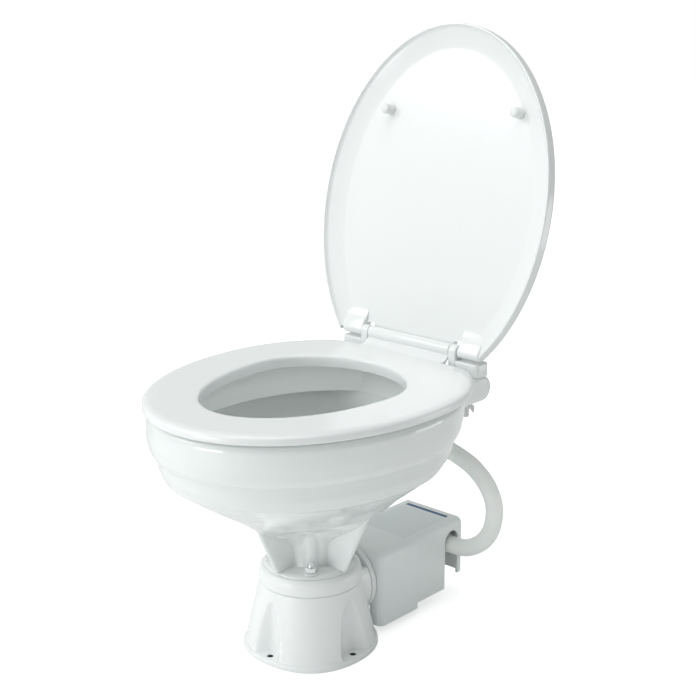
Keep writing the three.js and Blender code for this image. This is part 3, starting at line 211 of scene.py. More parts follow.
def dress(shape, name, material, body, stands_for, crease=40.0):
    """Turns a shape in millimetres into a finished piece that rides on a body."""
    clean(shape)
    bmesh.ops.scale(shape, vec=(0.001, 0.001, 0.001), verts=shape.verts)
    mesh = bpy.data.meshes.new(name)
    shape.to_mesh(mesh)
    shape.free()
    mesh.materials.append(material)
    mesh.shade_smooth()
    mesh.set_sharp_from_angle(angle=math.radians(crease))
    piece = bpy.data.objects.new(name, mesh)
    bpy.context.scene.collection.objects.link(piece)
    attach(piece, body)
    if stands_for:
        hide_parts(*stands_for)
    return piece


def tube_places(route, radius):
    """Loop places along a route, square to it and free of twist."""
    def ring(point, side, up):
        return lambda angle: point + (side * math.cos(angle) + up * math.sin(angle)) * radius

    points = [Vector(point) for point in route]
    side = Vector((0.0, 1.0, 0.0))
    places = []
    for i, point in enumerate(points):
        ahead = (points[min(i + 1, len(points) - 1)] - points[max(i - 1, 0)]).normalized()
        side = (side - ahead * side.dot(ahead)).normalized()
        places.append(ring(point, side, ahead.cross(side)))
    return places


def smooth_route(route, steps):
    """More points along a route, on a curve through all of its own."""
    points = [Vector(point) for point in route]
    fine = []
    for i in range(len(points) - 1):
        a, b = points[max(i - 1, 0)], points[i]
        c, d = points[i + 1], points[min(i + 2, len(points) - 1)]
        for step in range(steps):
            t = step / steps
            fine.append(0.5 * (2 * b + (c - a) * t + (2 * a - 5 * b + 4 * c - d) * t * t
                               + (3 * b - a - 3 * c + d) * t * t * t))
    return fine + [points[-1]]


hose_vinyl = finish("hose_vinyl", (0.97, 0.98, 0.955), (0.96, 0.97, 0.945), 0.34, grain=0.03,
                    grain_scale=500.0, wave=0.15, wave_scale=60.0,
                    fixed={"Coat Weight": 0.25, "Coat Roughness": 0.3, "Subsurface Weight": 0.12,
                           "Subsurface Scale": 0.004})
hose_fine = smooth_route(hose_route, 4)
hose_shape = bmesh.new()
loft(hose_shape, 40, tube_places(hose_fine, hose_radius) + tube_places(hose_fine, hose_bore)[::-1],
     closed=True)
hose = dress(hose_shape, "hose", hose_vinyl, "toilet", ["rinse_hose"])

# Pedestal: a hollow cone moulded in gloss white plastic, a little square at its foot, with a low flange,
# a soft pocket over each floor screw, a boss at the back that takes the macerator, and a groove under
# the collar.
base_plastic = finish("pedestal_plastic", (0.92, 0.94, 0.94), (0.91, 0.93, 0.93), 0.24, grain=0.02,
                      wave=0.25, wave_scale=25.0, fixed={"Coat Weight": 0.4, "Coat Roughness": 0.12})
pump_axis = 68.0
pump_way = (0.0, 0.0, pump_axis)
backward = (0.0, 1.0, 0.0)
pedestal_top = 94.7
flange_top = 8.2
squareness = 0.02
screw_reach = 74.5
screw_places = ((screw_reach, 0.0), (0.0, -screw_reach), (-screw_reach, 0.0))
pocket_depth = 0.5
pocket_rows = [(7.0, 26.0), (13.0, 26.0), (18.0, 25.6), (27.0, 24.4), (36.0, 22.4), (50.0, 19.2),
               (64.0, 15.1), (71.0, 12.2), (77.6, 8.8), (83.0, 5.0), (96.0, 1.0)]


def spun(section, sides, middle=(0.0, 0.0, 0.0), along=(0.0, 0.0, 1.0)):
    """A shape turned about a line from a half section of (radius, distance) points."""
    shape = bmesh.new()
    ends = [shape.verts.new((radius, 0.0, distance)) for radius, distance in section]
    edges = [shape.edges.new(pair) for pair in zip(ends, ends[1:])]
    bmesh.ops.spin(shape, geom=ends + edges, axis=(0, 0, 1), cent=(0, 0, 0), angle=2 * math.pi,
                   steps=sides, use_merge=True)
    clean(shape)
    swing = Vector((0.0, 0.0, 1.0)).rotation_difference(Vector(along)).to_matrix().to_4x4()
    bmesh.ops.transform(shape, matrix=Matrix.Translation(middle) @ swing, verts=shape.verts)
    return shape


def rod(radius, start, end, sides, middle=(0.0, 0.0, 0.0), along=(0.0, 0.0, 1.0)):
    """A plain round bar between two distances along a line."""
    return spun([(0, start), (radius, start), (radius, end), (0, end)], sides, middle, along)


def carve(shape, tool, operation="DIFFERENCE"):
    """One closed shape less another, or joined to it, or what both share."""
    blanks = []
    for form in (shape, tool):
        mesh = bpy.data.meshes.new("blank")
        form.to_mesh(mesh)
        form.free()
        blank = bpy.data.objects.new("blank", mesh)
        bpy.context.scene.collection.objects.link(blank)
        blanks.append(blank)
    carving = blanks[0].modifiers.new("carving", "BOOLEAN")
    carving.object = blanks[1]
    carving.operation = operation
    carving.solver = "MANIFOLD"
    result = bmesh.new()
    result.from_object(blanks[0], bpy.context.evaluated_depsgraph_get())
    for blank in blanks:
        mesh = blank.data
        bpy.data.objects.remove(blank)
        bpy.data.meshes.remove(mesh)
    return result


def slab(outline, axis, low, high):
    """A flat outline drawn through a thickness along X, Y or Z."""
    shape = bmesh.new()
    ends = [shape.verts.new({"X": (low, a, b), "Y": (a, low, b), "Z": (a, b, low)}[axis])
            for a, b in outline]
    drawn = bmesh.ops.extrude_face_region(shape, geom=[shape.faces.new(ends)])["geom"]
    bmesh.ops.translate(shape, vec=[high - low if name == axis else 0.0 for name in "XYZ"],
                        verts=[part for part in drawn if isinstance(part, bmesh.types.BMVert)])
    bmesh.ops.recalc_face_normals(shape, faces=shape.faces)
    return shape


def brick(x0, x1, y0, y1, z0, z1):
    """A block between two corners."""
    return slab([(x0, y0), (x1, y0), (x1, y1), (x0, y1)], "Z", z0, z1)


def fair(table, x):
    """A smooth row between the rows of a table, which never swings past them."""
    i = max(k for k in range(len(table) - 1) if table[k][0] <= x + 1e-9)
    low, high = table[i], table[i + 1]
    width = high[0] - low[0]
    t = min(1.0, (x - low[0]) / width)
    row = []
    for column in range(1, len(low)):
        def slope(k):
            if k == 0 or k == len(table) - 1:
                return 0.0
            before = (table[k][column] - table[k - 1][column]) / (table[k][0] - table[k - 1][0])
            after = (table[k + 1][column] - table[k][column]) / (table[k + 1][0] - table[k][0])
            return 0.0 if before * after <= 0 else 2 * before * after / (before + after)
        a, b = low[column], high[column]
        m, n = slope(i) * width, slope(i + 1) * width
        row.append(a + m * t + (3 * (b - a) - 2 * m - n) * t * t + (m + n - 2 * (b - a)) * t * t * t)
    return row


def pedestal_place(radius, height):
    """The cone's loop at a height, drawn in over its floor screws. The pockets fade out at both sides,
    but for the crisp left side of the one on the right."""
    def place(angle):
        reach = radius * (1 - squareness * (1 - height / pedestal_top) * math.cos(4 * angle))
        if height > flange_top:
            scoop = fair(pocket_rows, height)[0]
            depth = reach - screw_reach + scoop
            half = math.sqrt(max(1.0, scoop ** 2 - (reach - screw_reach) ** 2))
            for middle in (0.0, -math.pi / 2, math.pi):
                off = math.remainder(angle - middle, 2 * math.pi)
                share = radius * abs(math.sin(off)) / half
                if depth > 0 and share < 1 and abs(off) < math.pi / 2:
                    fading = 1.0 if off < 0 and middle == 0.0 else 2.4
                    reach -= pocket_depth * depth * (1 - share ** 3) ** fading
        return Vector((reach * math.cos(angle), reach * math.sin(angle), height))
    return place


flange_rows = [(0.0, 0.0), (84.8, 0.0), (86.0, 0.4), (86.5, 1.2), (86.5, 5.6), (86.3, 6.7), (85.7, 7.5),
               (84.9, 8.0), (84.4, flange_top), (83.9, 8.7), (83.6, 9.4)]
cone_rows = [(83.4 - 17.3 * step / 56, 10.0 + 82.5 * step / 56) for step in range(57)]
groove_rows = [(64.4, 92.9), (64.4, pedestal_top), (0.0, pedestal_top)]
pedestal = bmesh.new()
loft(pedestal, 360, [pedestal_place(*row) for row in flange_rows + cone_rows + groove_rows])
hollow_rows = [(0, 12), (40, 12), (42.4, 14.4), (57, 94), (57, 96), (0, 96)]
screw_hole_rows = [(0, -1), (4, -1), (4, 7.2), (5.0, 8.3), (5.0, 9), (0, 9)]
pedestal = carve(pedestal, rod(48, 32, 66, 96, pump_way, backward), "UNION")
pedestal = carve(pedestal, spun(hollow_rows, 96))
pedestal = carve(pedestal, rod(18, 0, 67, 48, pump_way, backward))
pedestal = carve(pedestal, rod(49, 66, 90, 96, pump_way, backward))
pedestal = carve(pedestal, brick(-60.0, 60.0, -60.0, 70.0, pedestal_top, 120.0))
for x, y in screw_places:
    pedestal = carve(pedestal, spun(screw_hole_rows, 32, (x, y, 0)))
pedestal_piece = dress(pedestal, "pedestal", base_plastic, "toilet", ["base"], crease=32.0)
# The walls and floors of the floor screws' holes are painted near black: painted shade for the dark inside of
# each hole.
painted_hole_shade = finish("painted_hole_shade", (0.05, 0.06, 0.06), (0.08, 0.09, 0.09), 0.8)
pedestal_piece.data.materials.append(painted_hole_shade)
for face in pedestal_piece.data.polygons:
    x, y, z = (1000 * value for value in face.center)
    if z < 7.1 and any(math.hypot(x - a, y - b) < 4.1 for a, b in screw_places):
        face.material_index = 1

# Collar: a turned ring of the same plastic that seats the bowl on the pedestal, its upper edge rounded
# over, with a black rubber gasket sunk in its top.
collar_rows = [(30, 95), (66.9, 95), (67.4, 95.3), (67.5, 96), (67.3, 99), (66.9, 103), (66.3, 107),
               (65.4, 110.2), (64.3, 112.2), (62.9, 113.7), (61.4, 114.5), (60.4, 114.8), (40, 114.8),
               (40, 108), (30, 108), (30, 95)]
dress(spun(collar_rows, 128), "collar", base_plastic, "toilet", ["bowl_collar"], crease=50.0)
black_rubber = finish("black_rubber", (0.03, 0.03, 0.032), (0.045, 0.045, 0.047), 0.6, grain=0.1)
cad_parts["bowl_gasket"].data.materials[0] = black_rubber

# Bowl: glazed vitreous china, slip-cast in one piece with its four fins, its stud pillars and the deck
# behind that takes the hinge bolts and the rinse water's inlet. Each row of its table gives, at a share
# of its height, its half width, front, rear and how full it is between the fins.
china_glaze = finish("china_glaze", (0.865, 0.90, 0.89), (0.85, 0.885, 0.88), 0.07, wave=0.35,
                     wave_scale=22.0, fixed={"Coat Weight": 1.0, "Coat Roughness": 0.03, "IOR": 1.52})
# The inside of the basin takes a paler copy of the china glaze: painted light, brighter than the lamps alone
# make it.
basin_painted_light_glaze = finish("basin_painted_light_glaze", (0.96, 0.99, 0.98), (0.95, 0.98, 0.97), 0.09, wave=0.35,
                     wave_scale=22.0, fixed={"Coat Weight": 0.6, "Coat Roughness": 0.05})
bowl_foot = 115.1
bowl_height = 225.9
bowl_half, bowl_front, bowl_rear, bowl_middle = 181.3, 219.0, 210.0, 15.0
mouth_half, mouth_front, mouth_rear, mouth_middle = 130.0, 190.9, 160.1, -15.4
china_wall = 10.0
throat_radius = 27.0
fin_top = 96.0
fin_half = 4.0
pillar_reach = 29.0
pillar_radius = 9.7
pillar_top = 47.0
rim_share = 0.96
rim_round = 6.0
bolt_x, bolt_y = 92.0, 203.0
inlet_way = (0.0, 211.5, 0.0)
bowl_rows = [
    (0.0, 0.1875, 0.155, 0.162, 1), (0.088, 0.1875, 0.155, 0.162, 1), (0.146, 0.204, 0.171, 0.178, 0.92),
    (0.19, 0.248, 0.212, 0.221, 0.76), (0.235, 0.331, 0.294, 0.305, 0.59),
    (0.262, 0.389, 0.347, 0.363, 0.52), (0.279, 0.425, 0.38, 0.4, 0.64), (0.306, 0.464, 0.421, 0.441, 0.81),
    (0.332, 0.502, 0.461, 0.481, 0.93), (0.398, 0.579, 0.557, 0.552, 1), (0.465, 0.666, 0.668, 0.629, 1),
    (0.518, 0.747, 0.749, 0.683, 1), (0.571, 0.827, 0.826, 0.738, 1), (0.606, 0.876, 0.87, 0.782, 1),
    (0.611, 0.884, 0.877, 0.787, 1), (0.617, 0.901, 0.893, 0.803, 1), (0.626, 0.911, 0.903, 0.813, 1),
    (0.66, 0.929, 0.922, 0.86, 1), (0.686, 0.94, 0.9315, 0.892, 1), (0.771, 0.949, 0.95, 0.936, 1),
    (0.776, 0.966, 0.969, 0.95, 1), (0.79, 0.976, 0.979, 0.958, 1), (0.819, 0.99, 0.991, 0.971, 1),
    (0.885, 1.0, 1.0, 0.986, 1), (0.96, 0.998, 0.998, 0.997, 1)]


def egg(angle, half_width, front, rear, middle):
    """Reach of an egg outline from the pedestal's axis: its widest line lies at middle."""
    c, s = math.cos(angle), math.sin(angle)
    reach = 0.0
    for length in (rear - middle, front + middle):
        a = (c / half_width) ** 2 + (s / length) ** 2
        b = s * middle / length ** 2
        reach = (b + math.sqrt(b * b - a * ((middle / length) ** 2 - 1))) / a
        if reach * s >= middle:
            break
    return reach


def soft_max(a, b, blend):
    """The larger of two reaches, rounded over where they meet like a fillet."""
    h = max(0.0, min(1.0, 0.5 + 0.5 * (a - b) / blend))
    return b + (a - b) * h + blend * h * (1.0 - h)


def bowl_skin(height, angle):
    """Reach of the china's outer skin at a height above its foot."""
    width, front, rear, full = fair(bowl_rows, height / bowl_height)
    middle = bowl_middle * height / bowl_height
    reach = egg(angle, bowl_half * width, bowl_front * front, bowl_rear * rear, middle)
    reach *= 1 - (1 - full) * abs(math.sin(2 * angle)) ** 1.5
    if height < fin_top:
        off = min(abs(math.remainder(angle - k * math.pi / 2, 2 * math.pi)) for k in range(4))
        edge = 61.0 + 42.0 * height / 90.0 - 0.03 * max(0.0, height - 76.0) ** 2
        fin = edge if off < 1e-6 else min(edge, fin_half / math.sin(off))
        if edge - fin_half < fin <= edge and off > 0:
            beside = max(0.0, fin_half ** 2 - (edge * math.sin(off)) ** 2)
            fin = min(fin, edge - fin_half + math.sqrt(beside))
        reach = soft_max(reach, fin, 5.0)
    if height < pillar_top + pillar_radius:
        off = abs(math.remainder(angle - math.pi / 4, math.pi / 2))
        dome = max(0.0, height - pillar_top)
        radius = math.sqrt(pillar_radius ** 2 - dome ** 2)
        if radius > 0.5 and off < math.asin(radius / pillar_reach):
            beside = radius ** 2 - (pillar_reach * math.sin(off)) ** 2
            reach = soft_max(reach, pillar_reach * math.cos(off) + math.sqrt(beside), 2.5)
    return reach


def bowl_place(height, reach_of):
    """A loop of the bowl, its points crowded towards the four fins, which need the finest mesh."""
    def place(angle):
        crowded = angle - 0.19 * math.sin(4 * angle)
        reach = reach_of(crowded)
        return Vector((reach * math.cos(crowded), reach * math.sin(crowded), bowl_foot + height))
    return place


def levels(low, rise, count):
    """Heights of a run of loops, one rise apart."""
    return [low + rise * step for step in range(count)]


bowl_places = [bowl_place(height, lambda a, r=radius: r) for radius, height in (
    (throat_radius, 0.0), (59.8, 0.0), (60.3, 0.3), (60.2, 0.9), (59.5, 1.9), (58.3, 2.9), (56.6, 3.7),
    (54.4, 4.3), (51.8, 4.6))]
bowl_places.append(bowl_place(4.7, lambda a: bowl_skin(5.0, a) + 1.5))
skin_heights = [*levels(5.6, 1.9, 24), *levels(51.2, 0.7, 46), *levels(83.4, 1.9, 28),
                *levels(136.0, 0.6, 12), *levels(144.1, 1.9, 15), *levels(172.3, 0.5, 16),
                *levels(182.0, 1.9, 18)]
bowl_places += [bowl_place(height, lambda a, h=height: bowl_skin(h, a)) for height in skin_heights]
for step in range(9):
    bend = math.pi / 2 * step / 8
    height = bowl_height * (rim_share + (1 - rim_share) * math.sin(bend))
    drop = rim_round * (1 - math.cos(bend))
    bowl_places.append(bowl_place(height, lambda a, d=drop: bowl_skin(rim_share * bowl_height, a) - d))
for growth, down in ((12.0, 0.0), (5.0, 0.0), (2.5, 0.8), (0.8, 2.5), (0.0, 5.0), (0.0, 20.0), (0.0, 40.0),
                     (1.5, 42.0), (4.5, 42.0), (6.0, 40.0), (6.0, 14.0)):
    bowl_places.append(bowl_place(bowl_height - down, lambda a, g=growth: egg(
        a, mouth_half + g, mouth_front + g, mouth_rear + g, mouth_middle)))
for share in (0.94, 0.885, 0.83, 0.77, 0.71, 0.66, 0.61, 0.571, 0.53, 0.5, 0.465, 0.43, 0.398, 0.37, 0.345,
              0.32, 0.306, 0.29, 0.275, 0.262, 0.24, 0.19, 0.1, 0.0):
    def basin(a, share=share):
        width, front, rear, full = fair(bowl_rows, min(share, 0.885))
        reach = egg(a, bowl_half * width * full, bowl_front * front * full, bowl_rear * rear * full,
                    bowl_middle * share)
        return max(throat_radius, reach - china_wall)
    bowl_places.append(bowl_place(share * bowl_height, basin))
bowl_shape = bmesh.new()
loft(bowl_shape, 288, bowl_places, closed=True)


def arc(middle, radius, start, end, steps):
    """Points of a round stretch of an outline, its angles in degrees."""
    angles = [math.radians(start + (end - start) * step / steps) for step in range(steps + 1)]
    return [(middle[0] + radius * math.cos(angle), middle[1] + radius * math.sin(angle))
            for angle in angles]


def soften(shape, offset, segments=3, sharp=40.0, where=lambda edge: True):
    """Rounds the sharp edges of a shape."""
    edges = [edge for edge in shape.edges
             if edge.is_manifold and edge.calc_face_angle() > math.radians(sharp) and where(edge)]
    bmesh.ops.bevel(shape, geom=edges, offset=offset, segments=segments, profile=0.5, affect="EDGES",
                    material=-1)
    return shape


def outboard(edge, limit):
    """Whether an edge lies wholly further to one side than a limit."""
    return all(abs(end.co.x) > limit for end in edge.verts)


def top_of(edge):
    """The height of an edge's upper end."""
    return max(end.co.z for end in edge.verts)


deck_half = 118.0
shoulder_half = 103.0
deck_outline = [(150.0, 341.0), (150.0, 307.0), *arc((206.0, 324.0), 17.0, -90.0, 90.0, 20)]
deck = soften(slab(deck_outline, "X", -deck_half, deck_half), 5.0, 5, 60.0, lambda edge: (
    outboard(edge, deck_half - 1) and max(end.co.y for end in edge.verts) > 151))
shoulder_outline = [(150.0, 262.0), (157.0, 262.0), (187.0, 300.0), (187.0, 324.0), (150.0, 324.0)]
shoulders = soften(slab(shoulder_outline, "X", -shoulder_half, shoulder_half), 9.0, 6, 20.0, lambda edge: (
    outboard(edge, shoulder_half - 1) and min(end.co.y for end in edge.verts) > 151 and top_of(edge) < 323))
boss_rows = [(0, 292), (16, 292), (16.7, 292.3), (17, 293), (17, 318), (0, 318)]
inlet_rows = [(0, 280), (13.4, 280), (13.4, 292.2), (12.7, 292.9), (12.7, 306), (0, 306)]
for form in (deck, shoulders, spun(boss_rows, 48, inlet_way)):
    bowl_shape = carve(bowl_shape, form, "UNION")
bowl_shape = carve(bowl_shape, spun(inlet_rows, 48, inlet_way))
for x in (bolt_x, -bolt_x):
    bowl_shape = carve(bowl_shape, rod(4.3, 306, 342, 32, (x, bolt_y, 0.0)))
bowl = dress(bowl_shape, "china_bowl", china_glaze, "toilet", ["bowl"], crease=55.0)
# Inward faces high in the bowl take the paler copy of the glaze as painted light.
bowl.data.materials.append(basin_painted_light_glaze)
for face in bowl.data.polygons:
    inward = face.normal.x * face.center.x + face.normal.y * face.center.y < 0
    if inward and face.center.z > 0.21:
        face.material_index = 1

# Studs, washers and nuts: threaded stainless studs, with a chamfered nut on a domed white nylon washer
# each, hold the bowl's foot down to the collar.
bright_steel = finish("bright_steel", (0.90, 0.91, 0.92), (0.86, 0.87, 0.88), 0.34, grain=0.02,
                      grain_scale=1500.0, fixed={"Metallic": 1.0})
white_nylon = finish("white_nylon", (0.82, 0.83, 0.825), (0.78, 0.79, 0.785), 0.3, grain=0.03,
                     grain_scale=900.0)
stud_reach = 49.0
stud_washer_rows = [(4.1, 119.9), (9.4, 119.9), (9.9, 120.2), (10, 120.7), (9.6, 121.3), (8.2, 121.8),
                    (6.6, 121.9), (4.1, 121.9), (4.1, 119.9)]


def threaded(radius, low, high, pitch):
    """Half section of a rod with the ridges of a screw thread."""
    core = 0.86 * radius
    ridges = [(radius if step % 2 else core, low + pitch * step / 2)
              for step in range(int(2 * (high - low) / pitch))]
    return [(0.0, low - 0.4), (0.7 * radius, low - 0.4), *ridges, (0.7 * radius, high), (0.0, high)]


def hex_nut(radius, low, high, bore):
    """A six-sided nut with its corners turned down at both ends and its hole's edges eased."""
    corner = 0.12 * radius
    turned = [(0.0, low), (radius - corner, low), (radius + 0.3, low + corner),
              (radius + 0.3, high - corner), (radius - corner, high), (0.0, high)]
    hole = [(0.0, low - 1), (bore + 0.5, low - 1), (bore + 0.5, low), (bore, low + 0.5), (bore, high - 0.5),
            (bore + 0.5, high), (bore + 0.5, high + 1), (0.0, high + 1)]
    blank = carve(rod(radius, low, high, 6), spun(turned, 48), "INTERSECT")
    return carve(blank, spun(hole, 32))


def move(shape, x, y):
    """Carries a shape level to its place."""
    bmesh.ops.translate(shape, vec=(x, y, 0.0), verts=shape.verts)
    return shape


for i in range(4):
    x, y = (stud_reach * part(math.pi / 4 + i * math.pi / 2) for part in (math.cos, math.sin))
    dress(spun(threaded(3.8, 98.0, 133.4, 1.4), 32, (x, y, 0)), f"stud_{i + 1}", bright_steel, "toilet",
          [f"bowl_stud_{i + 1}"])
    dress(spun(stud_washer_rows, 48, (x, y, 0)), f"washer_{i + 1}", white_nylon, "toilet",
          [f"bowl_washer_{i + 1}"])
    dress(move(hex_nut(7.5, 122.2, 128.2, 4.0), x, y), f"nut_{i + 1}", bright_steel, "toilet",
          [f"bowl_nut_{i + 1}"], crease=25.0)

# Seat: a thick ring of gloss white thermoset, flattened behind, its inner edge turned down into the
# bowl's mouth. Its barrel turns on the hinge pins, and four soft pads under it rest on the rim.
seat_gloss = finish("seat_gloss", (0.87, 0.89, 0.89), (0.86, 0.88, 0.88), 0.14, wave=0.2, wave_scale=18.0,
                    grain=0.01, fixed={"Coat Weight": 0.5, "Coat Roughness": 0.2})
soft_white = finish("soft_white", (0.82, 0.835, 0.83), (0.80, 0.82, 0.815), 0.45, grain=0.05)
hinge_y = 197.2
hinge_z = 369.5
hinge_middle = (0, hinge_y, hinge_z)
across = (1.0, 0.0, 0.0)
pin_hole = 3.3
seat_low = 344.0
seat_thick = 12.0
seat_half, seat_front, seat_rear, seat_middle = 185.0, 238.0, 195.0, 15.0
seat_back = 187.8
seat_fullness = 2.25
hole_half, hole_front, hole_rear, hole_middle = 113.0, 177.0, 98.0, 22.0
seat_section = [(0, 0.025, 0), (1, 0, 0.22), (2, 0.005, 0.6), (3, 0.05, 0.87), (4, 0.17, 1),
                (5, 0.5, 0.985), (6, 0.905, 0.965), (7, 0.968, 0.915), (8, 0.992, 0.7), (9, 1, 0.2),
                (10, 1, -0.22), (10.4, 0.993, -0.3), (10.8, 0.96, -0.3), (11, 0.95, -0.25), (12, 0.91, 0)]
seat_pad_rows = [(0, 341.3), (7.4, 341.3), (8.6, 341.7), (9, 342.5), (9, 343.7), (0, 343.7)]


def flattened(y, limit, blend):
    """An outline's rear held back to a limit, with a round corner at each side."""
    return y if y < limit - blend else limit - blend * math.exp((limit - blend - y) / blend)


def seat_place(inward, rise):
    """The seat's loop at a share of the way in to its hole and a share of its thickness. Behind its
    middle the outline is a little fuller than round."""
    def place(angle):
        c, s = math.cos(angle), math.sin(angle)
        powers = abs(c) ** seat_fullness + abs(s) ** seat_fullness
        fuller = powers ** (-1 / seat_fullness) if s > 0 else 1.0
        outer_x = seat_half * c * fuller
        outer_y = seat_middle + (seat_rear * fuller if s > 0 else seat_front) * s
        outer_y = flattened(outer_y, seat_back, 13.0)
        inner_y = hole_middle + (hole_rear if s > 0 else hole_front) * s
        return Vector((outer_x + (hole_half * c - outer_x) * inward,
                       outer_y + (inner_y - outer_y) * inward, seat_low + seat_thick * rise))
    return place


seat_shape = bmesh.new()
seat_rows = [fair(seat_section, min(12.0, 0.2 * step)) for step in range(61)]
loft(seat_shape, 240, [seat_place(*row) for row in seat_rows], closed=True)
barrel_half = 70.0
barrel_outline = [(hinge_y - a, hinge_z + b) for a, b in (
    *arc((0.0, 0.0), 8.6, -38.0, 290.0, 40), (11.5, -15.9), (11.5, -23.4), (34.0, -23.4), (34.0, -13.9),
    (26.0, -13.7), (19.0, -12.9), (14.0, -11.4), (10.4, -9.2), (8.2, -7.2))]
barrel = soften(slab(barrel_outline, "X", -barrel_half, barrel_half), 0.8, 3, 50.0, lambda edge: (
    outboard(edge, barrel_half - 1) and top_of(edge) > 357))
seat_shape = carve(seat_shape, barrel, "UNION")
for side in (1, -1):
    seat_shape = carve(seat_shape, rod(pin_hole, 41.7 * side, 71 * side, 32, hinge_middle, across))
dress(seat_shape, "seat_ring", seat_gloss, "seat", ["seat"], crease=38.0)
for i, (x, y) in enumerate(((119.2, 123.9), (119.2, -118.9), (-119.2, 123.9), (-119.2, -118.9))):
    dress(spun(seat_pad_rows, 40, (x, y, 0)), f"seat_pad_{i + 1}", soft_white, "seat",
          [f"seat_bumper_{i + 1}"])

# Lid: a shallow dish of the same thermoset, drawn closed and swung open. A soft concave edge leads from
# its narrow lip to the flat panel, a curled lip covers the barrel, two ears ride on the hinge pins, and
# two pads meet the seat.
lid_opening = 103.4
lid_swing = Matrix.Translation(hinge_middle) @ Matrix.Rotation(math.radians(-lid_opening), 4, "X")
lid_half, lid_front, lid_rear, lid_middle = 185.6, 241.3, 245.0, 15.0
lid_back = 216.0
panel_inset = 72.0
panel_inside = 3.5
panel_outside = 11.0
lid_section = [(0, panel_inset, panel_inside), (1, 33, panel_inside), (2, 29.5, 3.2), (3, 21, 0.9),
               (4, 12.6, -1.9), (5, 5.6, -4.8), (6, 3.1, -7.6), (6.6, 2.4, -8.8), (7, 1.8, -9),
               (7.4, 0.9, -9), (8, 0.5, -8.4), (9, 0, -5), (10, 0, 3), (11, 1.4, 7.0), (12, 5.4, 9.4),
               (13, 13, 10.6), (14, panel_inset, panel_outside)]


def lid_place(inset, rise, size=1.0):
    """The closed lid's loop at an inset from its edge, with its height from the hinge line."""
    def place(angle):
        c, s = math.cos(angle), math.sin(angle)
        reach = (lid_rear if s > 0 else lid_front) - inset
        y = flattened(lid_middle + reach * s, lid_back - inset, 16.0)
        return Vector(((lid_half - inset) * c * size, (y - lid_middle) * size + lid_middle - hinge_y, rise))
    return place


lid_places = [lid_place(panel_inset, panel_inside, size) for size in (0.0, 0.35, 0.7)]
lid_places += [lid_place(*fair(lid_section, 0.2 * step)) for step in range(71)]
lid_places += [lid_place(panel_inset, panel_outside, size) for size in (0.7, 0.35, 0.0)]
lid_shape = bmesh.new()
loft(lid_shape, 240, lid_places)
notch_half = 82.4
curl_half = 69.7
lid_notch = soften(brick(-notch_half, notch_half, -12.2, 24.0, -12.0, 14.0), 3.0, 5, 60.0, lambda edge: (
    all(end.co.y < 0 for end in edge.verts) and abs(edge.verts[0].co.z - edge.verts[1].co.z) > 1))
lid_shape = carve(lid_shape, lid_notch)
lid_shape = carve(lid_shape, brick(-120.0, 120.0, 0.0, 24.0, -12.0, 14.0))
curl_outline = [(-14.0, panel_inside), (-9.0, panel_inside), *arc((0.0, 0.0), 9.2, 156.0, 82.0, 14),
                *arc((0.0, 0.0), 10.8, 82.0, 112.0, 5), (-8.0, 10.95), (-14.0, 10.95)]
lid_shape = carve(lid_shape, slab(curl_outline, "X", -curl_half, curl_half), "UNION")
ear_outline = [(-a, b) for a, b in (
    *arc((0.0, 0.0), 7.2, 60.0, 290.0, 30), (9.0, -4.4), (11.5, -3.7), (14.0, -2.5), (16.5, -1.1),
    (19.0, 0.2), (21.5, 1.3), (24.0, 2.2), (27.0, 2.9), (31.0, 3.35), (36.0, 3.5), (46.0, 3.55),
    (46.0, 9.6))]
for side in (1, -1):
    ear = slab(ear_outline, "X", *sorted((83.0 * side, 118.0 * side)))
    soften(ear, 2.6, 5, 50.0, lambda edge: abs(edge.verts[0].co.x - edge.verts[1].co.x) < 0.1
           and all(end.co.y > -20 for end in edge.verts))
    lid_shape = carve(lid_shape, ear, "UNION")
    lid_shape = carve(lid_shape, rod(pin_hole, 82 * side, 115.3 * side, 32, (0, 0, 0), across))
bmesh.ops.transform(lid_shape, matrix=lid_swing, verts=lid_shape.verts)
dress(lid_shape, "lid_shell", seat_gloss, "lid", ["lid"], crease=38.0)
lid_pad_rows = [(0, -13.2), (3.4, -13.2), (5.2, -12.7), (6.5, -11.5), (7, -9.8), (7, 3.2), (0, 3.2)]
for i, (x, y) in enumerate(((113.6, -314.0), (-100.1, -304.0))):
    pad = spun(lid_pad_rows, 40, (x, y, 0))
    bmesh.ops.transform(pad, matrix=lid_swing, verts=pad.verts)
    dress(pad, f"lid_pad_{i + 1}", soft_white, "lid", [f"lid_bumper_{i + 1}"])

# Hinge blocks: white plastic posts with an eye each on the hinge line, held down through the deck by a
# nylon bolt with a washer and a wing nut below, and joined to seat and lid by a steel pin.
post_top = 358.6
post_outline = [(71.0, 190.0), *arc((112.0, 196.0), 6.0, -90.0, 0.0, 8),
                *arc((112.0, 210.0), 6.0, 0.0, 90.0, 8), (71.0, 216.0)]
eye_outline = [(hinge_y - a, hinge_z + b) for a, b in (
    *arc((0.0, 0.0), 8.6, 0.0, 180.0, 32), (-8.6, -18.0), (8.0, -18.0))]
pin_rows = [(0, 42), (2.4, 42), (3, 42.6), (3, 114.4), (2.4, 115), (0, 115)]
deck_washer_rows = [(4.3, 303.7), (10.3, 303.7), (11, 304.2), (11, 306.2), (10.3, 306.7), (4.3, 306.7),
                    (4.3, 303.7)]
hub_rows = [(0, 294.4), (7.4, 294.4), (8, 295), (7.2, 303.4), (0, 303.4)]
wing_outline = [(-13.0, 290.4), (-12.0, 289.6), (-7.0, 293.6), (7.0, 293.6), (12.0, 289.6), (13.0, 290.4),
                (13.0, 298.2), (11.6, 299.2), (4.0, 301.6), (-4.0, 301.6), (-11.6, 299.2), (-13.0, 298.2)]
